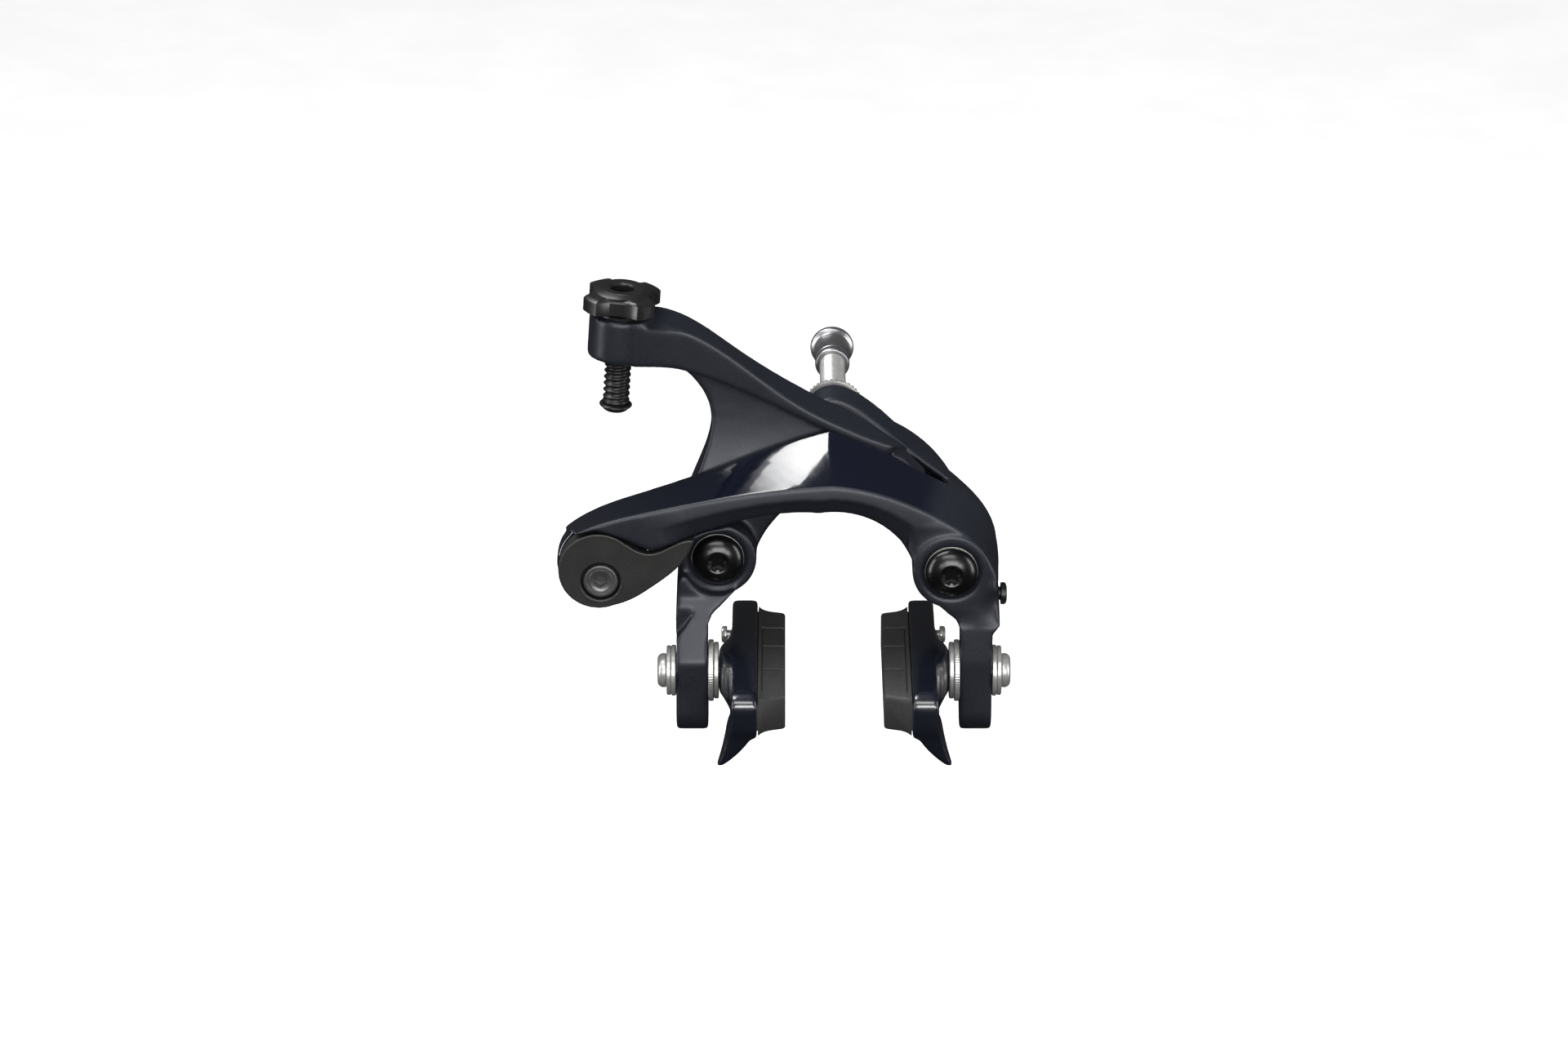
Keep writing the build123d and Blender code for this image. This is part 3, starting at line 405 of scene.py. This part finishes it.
def serrated(count, depth):
    """Rim with count teeth."""

    def shape(angle):
        phase = (angle * count / TAU) % 1.0
        return 1 - depth * abs(2 * phase - 1)

    return shape


def axis_frame(origin, along, across):
    """Matrix whose Z runs along an axis and whose X lies close to across."""
    z = Vector(along).normalized()
    x = (Vector(across) - z * z.dot(Vector(across))).normalized()
    matrix = Matrix((x, z.cross(x), z)).transposed().to_4x4()
    matrix.translation = origin
    return matrix


def lathe(name, matrix, profile, segments=96, closed=False, wave=None, sharp=SHARP_DEGREES):
    """Turned piece. The profile has (radius, height, shape) points in mm, and heights run along Z."""
    rings = []
    verts = []
    faces = []
    for radius, height, shape in profile:
        if radius < 1e-6:
            rings.append([len(verts)])
            verts.append(matrix @ Vector((0, 0, height * MM)))
            continue
        ring = []
        for index in range(segments):
            angle = TAU * index / segments
            reach = radius * shape(angle)
            if wave:
                reach += wave(angle, height)
            ring.append(len(verts))
            point = (reach * math.cos(angle) * MM, reach * math.sin(angle) * MM, height * MM)
            verts.append(matrix @ Vector(point))
        rings.append(ring)
    if closed:
        rings.append(rings[0])
    for low, high in zip(rings, rings[1:]):
        if len(low) == 1 and len(high) == 1:
            continue
        for index in range(segments):
            after = (index + 1) % segments
            if len(low) == 1:
                faces.append((low[0], high[index], high[after]))
            elif len(high) == 1:
                faces.append((low[index], high[0], low[after]))
            else:
                faces.append((low[index], high[index], high[after], low[after]))
    return mesh_object(name, verts, faces, sharp)


def shaped(points, shape):
    """Profile points of one shape from (radius, height) points."""
    return [(radius, height, shape) for radius, height in points]


def plain(points):
    return shaped(points, round_shape)


def centre(node):
    low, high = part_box(node)
    return (low + high) / 2


def depth_axis(node, direction):
    """Axis of a node along the depth: heights run forwards from the fork face for a direction of
    -1, and backwards for 1."""
    middle = centre(node)
    return axis_frame((middle.x, 0, middle.z), (0, direction, 0), (1, 0, 0))


def depth_extent(node):
    """Where a node starts and ends on Y, in mm."""
    low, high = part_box(node)
    return low.y / MM, high.y / MM


def side_axis(node, side):
    """Axis of a node on the shoe bolt's line, whose heights run outwards from the wheel."""
    middle = centre(node)
    return axis_frame((0, middle.y, middle.z), (side, 0, 0), (0, 0, 1))


# ---------------------------------------------------------------- arms, bridge and lever

BEAM_FRONT = 38.0  # depth of the front arm's flat front, in mm
CROWN_START = 28.0  # depth from which its upper and lower faces slope
CROWN_REACH = 7.0  # how far in from the edge the front is rounded over
CROWN_LOWER, CROWN_UPPER = 2.2, 0.6  # how far the lower and upper edges move back
PIVOT_SPOT = (26.0, -24.5)  # X and Z around which the front stays flat for the bolt
PIVOT_FLAT, PIVOT_BLEND = 8.9, 4.0
LEVER_SPOT = (-52.5, -24.6)  # X and Z around which it stays flat for the lever
LEVER_FLAT, LEVER_BLEND = 16.0, 8.0
LEG_TOP, LEG_BLEND = -38.0, 6.0  # height below which the leg stays flat


def ramp(value, start, width):
    """0 up to start, rising to 1 over the width."""
    return np.clip((value - start) / width, 0, 1)


def crown_front(mesh):
    """Rounds the beam's flat front over: strongly towards its lower edge, a little towards its
    upper one."""
    place = vertex_rows(mesh, "co")
    normal = vertex_rows(mesh, "normal")
    x, y, z = place.T / MM
    depth = -y
    on_front = (normal[:, 1] < -0.95) & (depth > BEAM_FRONT - 0.6)
    rim = np.flatnonzero(~on_front & (depth > BEAM_FRONT - 1.2) & (depth < BEAM_FRONT + 0.3))
    drop = np.where(normal[:, 2] < 0.1, CROWN_LOWER, CROWN_UPPER)
    tree = KDTree(len(rim))
    for index in rim:
        tree.insert(place[index], int(index))
    tree.balance()
    shift = np.zeros(len(place))
    for index in np.flatnonzero(on_front):
        _, nearest, gap = tree.find(place[index])
        shift[index] = drop[nearest] * max(0.0, 1 - gap / MM / CROWN_REACH) ** 2
    sides = ~on_front & (depth > CROWN_START)
    shift[sides] = drop[sides] * ramp(depth[sides], CROWN_START, BEAM_FRONT - CROWN_START)
    from_pivot = np.hypot(x - PIVOT_SPOT[0], z - PIVOT_SPOT[1])
    from_lever = np.hypot(x - LEVER_SPOT[0], z - LEVER_SPOT[1])
    shift *= ramp(from_pivot, PIVOT_FLAT, PIVOT_BLEND) * ramp(from_lever, LEVER_FLAT, LEVER_BLEND)
    shift *= ramp(z, LEG_TOP, LEG_BLEND)
    place[:, 1] += shift * MM
    move_vertices(mesh, place)


SHOULDER_HEIGHT, SHOULDER_BAND = -38.5, 3.0  # where the shoe's washers pass a leg's shoulders
SHOULDER_INNER = 25.5  # distance from the middle plane at which the washers lie


def leg_softness(place):
    """Little rounding where a leg's shoulders come close to the shoe's washers."""
    height = place[:, 2] / MM
    beside_washers = np.abs(place[:, 0]) / MM > SHOULDER_INNER
    near = np.clip(1 - np.abs(height - SHOULDER_HEIGHT) / SHOULDER_BAND, 0, 1) * beside_washers
    return 1.0 - 0.9 * np.minimum(1.0, 2 * near)


def arm_softness(place):
    """Less rounding on the gloss facet's edges than elsewhere on the front arm."""
    depth = -place[:, 1] / MM
    height = place[:, 2] / MM
    on_beam = ramp(height, -22.0, 6.0) * ramp(depth, 25.0, 1.5)
    return (1.0 - 0.72 * on_beam) * leg_softness(place)


FACET_REAR = 26.0  # depth at which the glossy facet starts
FACET_RIGHT, FACET_SLANT = 22.5, 0.25  # its right end at depth 30, and how far that leans per mm
FACET_END_BLUR = 50  # the right end fades over this many times the width of its other edges


def mark_facet(piece):
    """Signed distance, in mm, from the edge of the glossy facet, kept as an attribute. Its right
    end counts for less, so the gloss fades out there."""
    mesh = piece.data
    x, y, z = vertex_rows(mesh, "co").T / MM
    nx, ny, nz = vertex_rows(mesh, "normal").T
    depth = -y
    upward = (0.9 * nz - 0.6 * nx - 0.12) * 4
    front_line = (BEAM_FRONT - 1.0) - depth
    rear_line = depth - FACET_REAR
    right_end = (FACET_RIGHT - (depth - 30.0) * FACET_SLANT - x) / FACET_END_BLUR
    distance = np.minimum.reduce([upward, front_line, rear_line, right_end])
    attribute = mesh.attributes.new("facet", "FLOAT", "POINT")
    attribute.data.foreach_set("value", distance.astype(np.float32))


front_arm = forged("front_arm", "forged_front_arm", voxel=0.28, steps=26, keep=0.42, weight=arm_softness,
                   surface=two_finish_arm(), shape=crown_front)
mark_facet(front_arm)
forged("adjuster_arm", "forged_adjuster_arm", voxel=0.28, steps=26, keep=0.42, weight=leg_softness)
forged("bridge_plate", "forged_bridge_plate", voxel=0.28, steps=14, keep=0.4)
forged("quick_release_lever", "forged_quick_release_lever", voxel=0.18, steps=26, keep=0.4, swell=0.515)

for side in ("left", "right"):
    forged(f"{side}_shoe_holder", f"moulded_{side}_shoe_holder", voxel=0.22, steps=60, keep=0.4)


# ---------------------------------------------------------------- turned pieces on the depth axis


def pivot_bolt(side):
    node = f"{side}_pivot_bolt"
    start, end = depth_extent(node)
    front_depth, rear_depth = -start, -end
    seat = front_depth - 3.4
    head_radius, dome_height = 5.8, 2.9
    dome = [
        (head_radius * math.sin(a), seat + 0.5 + dome_height * math.cos(a))
        for a in np.linspace(math.radians(27), math.pi / 2, 22)
    ]
    profile = [(0, seat + 1.5, round_shape)]
    profile += shaped([(1.85, seat + 1.5), (1.95, seat + 2.75)], star)
    profile += plain([(2.15, seat + 2.95), (2.42, seat + 3.05)] + dome)
    profile += plain([(head_radius, seat + 0.15), (5.65, seat), (3.0, seat), (3.0, rear_depth + 0.4)])
    profile += plain([(2.6, rear_depth), (0, rear_depth)])
    stand_in(lathe(f"domed_{side}_pivot_bolt", depth_axis(node, -1), profile, 144), node)


pivot_bolt("left")
pivot_bolt("right")


def anchor_bolt():
    node = "anchor_bolt"
    start, end = depth_extent(node)
    front_depth, rear_depth = -start, -end
    face = front_depth - 0.25
    profile = [(0, face - 1.5, round_shape)]
    profile += shaped([(1.25, face - 1.5), (1.38, face - 0.3), (1.55, face - 0.12)], hexagon)
    rings = [(1.95, face - 0.1), (2.1, face), (2.75, face + 0.02), (2.86, face - 0.1)]
    rings += [(2.98, face + 0.03), (3.45, face + 0.1), (3.7, face + 0.02), (3.9, face - 0.3)]
    rings += [(3.9, face - 1.7), (3.7, face - 1.95), (2.2, face - 2.0), (2.2, rear_depth + 0.4)]
    rings += [(1.8, rear_depth), (0, rear_depth)]
    stand_in(lathe("turned_anchor_bolt", depth_axis(node, -1), profile + plain(rings), 144), node)


anchor_bolt()


def sleeve_nut():
    node = "sleeve_nut"
    start, end = depth_extent(node)
    outline = [
        (0, end - 5.5),
        (2.7, end - 5.5),
        (2.7, start + 0.15),
        (2.9, start),
        (3.7, start),
        (4.0, start + 0.55),
        (4.0, start + 1.5),
        (3.82, start + 1.75),
        (3.82, start + 2.2),
        (4.0, start + 2.45),
        (4.0, end - 3.1),
        (3.9, end - 2.6),
        (4.35, end - 2.15),
        (4.95, end - 1.75),
        (5.05, end - 1.3),
        (5.05, end - 0.7),
        (4.6, end - 0.1),
        (4.3, end),
    ]
    profile = round_corners(plain(outline), 0.25)
    profile += shaped([(2.7, end), (2.5, end - 0.25), (2.5, end - 4.5)], hexagon)
    profile += plain([(0, end - 4.5)])
    stand_in(lathe("chromed_sleeve_nut", depth_axis(node, 1), profile, 144), node)


sleeve_nut()


def thread_wave(pitch, depth, start, end, fade):
    """Helical thread between two heights: how far the surface moves in or out, in mm."""

    def wave(angle, height):
        if not start < height < end:
            return 0.0
        strength = min(max((height - start) / fade, 0), 1) * min(max((end - height) / fade, 0), 1)
        phase = (height / pitch - angle / TAU) % 1.0
        return -depth * strength * (0.5 - 0.5 * math.cos(TAU * phase)) ** 0.8

    return wave


def evenly(start, end, spacing):
    """Heights from start to end, a little more than spacing apart."""
    steps = int((end - start) / spacing)
    return [start + (end - start) * i / steps for i in range(steps + 1)]


def fork_bolt():
    node = "fork_bolt"
    head, rear = depth_extent(node)
    thread_start, grip = 8.0, 26.0
    profile = [(0, head + 2.4, round_shape)]
    profile += shaped([(2.5, head + 2.4), (2.5, head + 0.2), (2.8, head)], hexagon)
    profile += plain([(4.1, head), (4.5, head + 0.4), (4.5, head + 3.4), (3.2, head + 3.5)])
    profile += plain([(3.2, 0), (3.0, 0.05)])
    heights = evenly(thread_start, rear - 0.6, 0.1)
    profile += plain([(3.0 if height < grip else 2.9, height) for height in heights])
    profile += plain([(2.4, rear), (0, rear)])
    wave = thread_wave(1.0, 0.30, thread_start, rear, 1.0)
    stand_in(lathe("threaded_fork_bolt", depth_axis(node, 1), profile, 72, wave=wave, sharp=50), node)


fork_bolt()


def fork_washer():
    node = "fork_washer"
    start, end = depth_extent(node)
    profile = plain([(3.25, start), (6.3, start), (6.8, start + 0.15)])
    profile += shaped([(7.0, start + 0.5), (7.0, end - 0.35), (6.7, end - 0.05)], serrated(40, 0.055))
    profile += plain([(5.2, end), (3.25, end)])
    stand_in(lathe("toothed_fork_washer", depth_axis(node, 1), profile, 240, closed=True), node)


fork_washer()


# ---------------------------------------------------------------- barrel adjuster

JOINT_HEIGHT = 12  # mm from the barrel's middle up to the adjuster's joint
BARREL_BOTTOM, BARREL_TOP = -13.0, 13.0
KNOB_BOTTOM, KNOB_TOP = 11.2, 15.2
KNOB_RADIUS = 9.2

adjuster = joints["adjuster_turn"]
adjuster_axis = axis_frame(
    Vector(adjuster["pos_m"]) - Vector(adjuster["axis"]).normalized() * JOINT_HEIGHT * MM,
    adjuster["axis"],
    (1, 0, 0),
)


def barrel():
    bottom = BARREL_BOTTOM
    thread_start, thread_end = bottom + 2.3, 10.5
    profile = plain([(1.2, BARREL_TOP), (1.2, bottom), (2.3, bottom), (2.75, bottom + 0.3)])
    profile += plain([(2.75, bottom + 0.9), (2.5, bottom + 1.0), (2.5, bottom + 1.7), (2.9, bottom + 1.9)])
    profile += plain([(3.0, height) for height in evenly(thread_start, thread_end, 0.11)])
    profile += plain([(2.9, thread_end + 0.4), (2.9, BARREL_TOP)])
    wave = thread_wave(1.5, 0.55, thread_start, thread_end, 0.8)
    piece = lathe("threaded_adjuster_barrel", adjuster_axis, profile, 72, closed=True, wave=wave, sharp=60)
    stand_in(piece, "adjuster_barrel")
    turns = np.linspace(0, TAU, 17)[:-1]
    ring = [(3.05 + 0.6 * math.cos(a), bottom + 1.3 + 0.42 * math.sin(a)) for a in turns]
    piece = lathe("rounded_retaining_ring", adjuster_axis, plain(ring), 96, closed=True)
    stand_in(piece, "barrel_retaining_ring")


barrel()


def scalloped(angle):
    """Four shallow scallops with sharp corners between them and the round rim."""
    scallop, away, turn = 8.2, 14.75, 0.12
    turned = (angle + turn + math.pi / 4) % (math.pi / 2) - math.pi / 4
    inside = scallop ** 2 - (away * math.sin(turned)) ** 2
    if inside <= 0:
        return 1.0
    return min(1.0, (away * math.cos(turned) - math.sqrt(inside)) / KNOB_RADIUS)


def knob():
    low, high = KNOB_BOTTOM, KNOB_TOP
    rim = [(8.8, low + 0.05), (KNOB_RADIUS, low + 0.35), (KNOB_RADIUS, high - 0.85)]
    rim += [(8.9, high - 0.5), (8.1, high - 0.1)]
    top = [(6.4, high + 0.05), (6.2, high + 0.25), (5.0, high + 0.72), (4.9, high + 0.86)]
    top += [(3.5, high + 0.9), (2.9, high + 0.72), (2.6, high + 0.3), (2.6, low + 2.3), (3.05, low + 2.3)]
    profile = plain([(3.05, low), (5.4, low)]) + shaped(rim, scalloped) + plain(top)
    piece = lathe("lobed_adjuster_knob", adjuster_axis, profile, 360, closed=True, sharp=30)
    stand_in(piece, "adjuster_knob")


knob()


# ---------------------------------------------------------------- shoe hardware


RING_BEVEL = 0.18


def ring_profile(inner, outer, start, end, shape):
    """Section of a flat ring, whose rim has the given shape."""
    bevel = RING_BEVEL
    return [
        (inner, start + bevel * 0.5, round_shape),
        (inner + bevel * 0.5, start, round_shape),
        (outer - bevel * 1.4, start, round_shape),
        (outer, start + bevel, shape),
        (outer, end - bevel, shape),
        (outer - bevel * 1.4, end, round_shape),
        (inner + bevel * 0.5, end, round_shape),
        (inner, end - bevel * 0.5, round_shape),
    ]


def side_extent(node, side):
    """Where a node starts and ends on its side of the wheel, in mm."""
    low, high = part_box(node)
    return sorted((side * low.x / MM, side * high.x / MM))


def side_radius(node):
    low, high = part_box(node)
    return (high.z - low.z) / 2 / MM


WASHER_BORE = 3.1
WASHER_CLEARANCE = 0.25  # keeps the serrated washers off the legs' rounded shoulders
SERRATION_COUNT, SERRATION_DEPTH = 72, 0.010


def washer(side_name, side, kind):
    node = f"{side_name}_{kind}_washer"
    start, end = side_extent(node, side)
    outer = side_radius(node) - (WASHER_CLEARANCE if "serrated" in kind else 0)
    toothed = kind == "inner_serrated"
    shape = serrated(SERRATION_COUNT, SERRATION_DEPTH) if toothed else round_shape
    profile = ring_profile(WASHER_BORE, outer, start, end, shape)
    segments = 4 * SERRATION_COUNT if toothed else 96
    stand_in(lathe(f"turned_{node}", side_axis(node, side), profile, segments, closed=True), node)


def shoe_bolt(side_name, side):
    node = f"{side_name}_shoe_bolt"
    start, end = side_extent(node, side)
    profile = [(0, end - 1.5, round_shape)]
    profile += shaped([(2.0, end - 1.5), (2.0, end - 0.15), (2.15, end)], hexagon)
    profile += plain([(2.75, end), (3.2, end - 0.12), (3.6, end - 0.5), (3.85, end - 1.0)])
    profile += plain([(3.85, end - 1.75), (3.7, end - 1.95), (3.0, end - 2.0), (3.0, start + 0.4)])
    profile += plain([(2.6, start), (0, start)])
    stand_in(lathe(f"turned_{node}", side_axis(node, side), profile, 96), node)


def pad_screw(side_name, side):
    node = f"{side_name}_pad_screw"
    start, end = side_extent(node, side)
    profile = [(0, end - 0.8, round_shape)]
    profile += shaped([(0.9, end - 0.8), (0.95, end - 0.05)], hexagon)
    profile += plain([(1.4, end), (1.75, end - 0.15), (1.9, end - 0.5), (1.9, end - 1.15)])
    profile += plain([(1.75, end - 1.3), (1.0, end - 1.3), (1.0, start), (0, start)])
    stand_in(lathe(f"turned_{node}", side_axis(node, side), profile, 72), node)


for side_name, side in (("left", -1), ("right", 1)):
    for kind in ("inner_dished", "inner_serrated", "outer_serrated", "outer_flat"):
        washer(side_name, side, kind)
    shoe_bolt(side_name, side)
    pad_screw(side_name, side)


def centring_screw():
    node = "centring_screw"
    side = 1
    start, end = side_extent(node, side)
    profile = [(0, end - 1.0, round_shape)]
    profile += shaped([(1.0, end - 1.0), (1.05, end - 0.1)], hexagon)
    profile += plain([(1.6, end), (2.25, end - 0.2), (2.5, end - 0.55), (2.5, end - 1.2)])
    profile += plain([(2.35, end - 1.4), (1.5, end - 1.4), (1.5, start), (0, start)])
    stand_in(lathe("turned_centring_screw", side_axis(node, side), profile, 96), node)


centring_screw()


# ---------------------------------------------------------------- pads


def cut(piece, low, high):
    """Takes a box-shaped groove, in mm, out of a piece."""
    xs, ys, zs = zip(low, high)
    verts = [(x * MM, y * MM, z * MM) for x in xs for y in ys for z in zs]
    faces = [(0, 1, 3, 2), (4, 6, 7, 5), (0, 4, 5, 1), (2, 3, 7, 6), (0, 2, 6, 4), (1, 5, 7, 3)]
    knife = mesh_object("knife", verts, faces)
    groove = piece.modifiers.new("groove", "BOOLEAN")
    groove.operation = "DIFFERENCE"
    groove.solver = "EXACT"
    groove.object = knife
    apply_modifiers(piece)
    bpy.data.objects.remove(knife)


GROOVE_ALONG = (-9.0, 3.5, 13.5)  # places of the cross grooves along the pad, in mm
GROOVE_WIDTH = 0.9
LIP_SETBACK = 4.3  # from the pad's back to the lip that meets the holder
SLOT_WIDTH = 0.35  # of the lengthwise slot along which the cross grooves end
SLOT_LEAD = 12.0  # how far the slot starts before the first groove
END_SHARE = 0.97  # share of the pad's half length beyond which its ends are rounded
END_TAPER = 0.14
FACE_SETBACK = 3.0  # how far the ends draw in at the rubbing face


def pad_section(face, lip, back, half):
    """Outline of a pad across its length: (distance from the wheel's middle plane, height)."""
    upper = [(face, half - 1.0), (face + 0.25, half - 0.6), (face + 0.8, half - 0.45)]
    upper += [(lip - 2.6, half - 0.5), (lip - 1.4, half - 0.4), (lip - 0.7, half - 0.2)]
    upper += [(lip - 0.25, half), (lip, half), (lip, 3.4), (back, 3.4)]
    return upper + [(x, -z) for x, z in reversed(upper)]


def pad(side_name, side):
    """Rubber pad: its ends draw in towards the rim, and its top flares out to meet the holder."""
    node = f"{side_name}_brake_pad"
    low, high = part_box(node)
    face = min(abs(low.x), abs(high.x)) / MM
    back = max(abs(low.x), abs(high.x)) / MM
    lip = back - LIP_SETBACK
    groove_end = lip - 1.1
    middle = (low + high) / 2 / MM
    half = (high.z - low.z) / 2 / MM
    half_length = (high.y - low.y) / 2 / MM
    section = pad_section(face, lip, back, half)
    shares = [-1.0, -0.992, -END_SHARE, -0.5, 0.0, 0.5, END_SHARE, 0.992, 1.0]
    verts = []
    faces = []
    for share in shares:
        swell = 1.0 - END_TAPER * max(0.0, (abs(share) - END_SHARE) / 0.03) ** 2
        for x, z in section:
            inward = min(max((lip - x) / (lip - face), 0.0), 1.0)
            length = half_length - FACE_SETBACK * inward ** 0.6
            verts.append((side * x * MM, (middle.y + share * length) * MM, (middle.z + z * swell) * MM))
    n = len(section)
    for ring in range(len(shares) - 1):
        here, there = ring * n, (ring + 1) * n
        for k in range(n):
            after = (k + 1) % n
            faces.append((here + k, here + after, there + after, there + k))
    faces.append(tuple(range(n)))
    faces.append(tuple(reversed(range((len(shares) - 1) * n, len(shares) * n))))
    piece = mesh_object(f"grooved_{node}", verts, faces)
    wide = GROOVE_WIDTH / 2
    ends = sorted((side * (face - 1), side * groove_end))
    for along in GROOVE_ALONG:
        y = middle.y + along
        cut(piece, (ends[0], y - wide, middle.z - half - 1), (ends[1], y + wide, middle.z + half + 1))
    ends = sorted((side * groove_end, side * (groove_end + SLOT_WIDTH)))
    first, last = middle.y + GROOVE_ALONG[0] - SLOT_LEAD, middle.y + GROOVE_ALONG[-1] + wide
    for level in (half - 0.75, -half - 1):
        cut(piece, (ends[0], first, middle.z + level), (ends[1], last, middle.z + level + 1.75))
    bevel = piece.modifiers.new("edges", "BEVEL")
    bevel.width = 0.12 * MM
    bevel.segments = 2
    bevel.limit_method = "ANGLE"
    bevel.angle_limit = math.radians(35)
    apply_modifiers(piece)
    piece.data.shade_smooth()
    piece.data.set_sharp_from_angle(angle=math.radians(40))
    stand_in(piece, node)


pad("left", -1)
pad("right", 1)


# ---------------------------------------------------------------- pieces kept as the CAD has them

for node, piece in frame["nodes"].items():
    if not piece.hide_render:
        paint(piece, surfaces[slot_of[node]])


# ---------------------------------------------------------------- floor, light and camera

FLOOR_Z = -0.30
FLOOR_REACH = 12

SQUARE = ((-1, -1), (1, -1), (1, 1), (-1, 1))

floor_corners = [(x * FLOOR_REACH, y * FLOOR_REACH, FLOOR_Z) for x, y in SQUARE]
floor_mesh = bpy.data.meshes.new("floor")
floor_mesh.from_pydata(floor_corners, [], [(0, 1, 2, 3)])
floor = linked("floor", floor_mesh)
paint(floor, grained("paper", dark=(0.87, 0.87, 0.87), light=(0.90, 0.90, 0.90), grain=40.0, rough=0.9,
                     swing=0.05, relief=0.02, Specular_IOR_Level=0.1))
floor.visible_glossy = False
floor.visible_diffuse = False


def brightness_ramp(tree, source, channel, numbers, target):
    """In a light's or the world's nodes: one channel of the source, remapped, sets the strength."""
    nodes, links = tree.nodes, tree.links
    split = nodes.new("ShaderNodeSeparateXYZ")
    links.new(source, split.inputs[0])
    ramp = nodes.new("ShaderNodeMapRange")
    ramp.interpolation_type = "SMOOTHSTEP"
    for socket, value in zip(RANGE_SOCKETS, numbers):
        ramp.inputs[socket].default_value = value
    links.new(split.outputs[channel], ramp.inputs["Value"])
    links.new(ramp.outputs["Result"], nodes[target].inputs["Strength"])


def studio_world():
    """Surroundings that only reflections see well: dark below, a little paler above."""
    world = bpy.data.worlds.new("studio")
    bpy.context.scene.world = world
    world.use_nodes = True
    direction = world.node_tree.nodes.new("ShaderNodeTexCoord").outputs["Generated"]
    brightness_ramp(world.node_tree, direction, "Z", (-0.45, 0.35, 0.03, 0.045), "Background")
    world.node_tree.nodes["Background"].inputs["Color"].default_value = (0.98, 0.98, 1.0, 1)


studio_world()


def softbox(name, place, target, size, power, fade=None):
    """Area light. With a fade, its brightness rises across its width between two shares of it."""
    light = bpy.data.lights.new(name, "AREA")
    light.shape = "RECTANGLE"
    light.size, light.size_y = size
    light.energy = power
    lamp = linked(name, light)
    lamp.location = place
    lamp.rotation_euler = (Vector(target) - Vector(place)).to_track_quat("-Z", "Y").to_euler()
    if fade:
        light.use_nodes = True
        across = light.node_tree.nodes.new("ShaderNodeNewGeometry").outputs["Parametric"]
        brightness_ramp(light.node_tree, across, "X", (*fade, 0.0, 1.0), "Emission")


softbox("key_overhead", (-0.36, 0.14, 0.75), (-0.02, 0.0, 0.0), (0.66, 0.60), 16.0, fade=(0.05, 1.0))
softbox("dome_left", (-0.42, -1.08, 0.12), (-0.02, -0.03, -0.02), (0.20, 0.20), 1.0)
softbox("dome_right", (0.48, -1.06, 0.10), (0.03, -0.04, -0.02), (0.22, 0.22), 1.8)
softbox("front_top", (-0.15, -0.90, 0.85), (0, 0, -0.02), (0.9, 0.34), 6.5)
softbox("front_low", (0.05, -1.30, 0.30), (0, 0, -0.02), (0.8, 0.34), 10.0)
softbox("left_strip", (-0.85, -0.30, 0.10), (-0.02, 0, -0.02), (0.22, 0.7), 4.0)
softbox("right_strip", (0.85, -0.30, 0.10), (0.02, 0, -0.02), (0.22, 0.7), 4.0)

wash = bpy.data.lights.new("wash", "SUN")
wash.energy = 2.6
wash.angle = math.radians(70)
linked("wash", wash).visible_glossy = False

ELEVATION = math.radians(23)
DISTANCE = 1.2
LENS_MM, SENSOR_MM = 121.4, 36
AIM_RIGHT, AIM_UP = -0.0112, -0.02626  # the camera's shift from the line through the origin, in metres

forward = Vector((0, math.cos(ELEVATION), -math.sin(ELEVATION)))
up = Vector((0, math.sin(ELEVATION), math.cos(ELEVATION)))
camera_data = bpy.data.cameras.new("camera")
camera_data.lens = LENS_MM
camera_data.sensor_width = SENSOR_MM
camera = linked("camera", camera_data)
camera.location = -forward * DISTANCE + Vector((AIM_RIGHT, 0, 0)) + up * AIM_UP
camera.rotation_euler = (math.pi / 2 - ELEVATION, 0, 0)
bpy.context.scene.camera = camera
bpy.context.scene.view_settings.view_transform = "Standard"
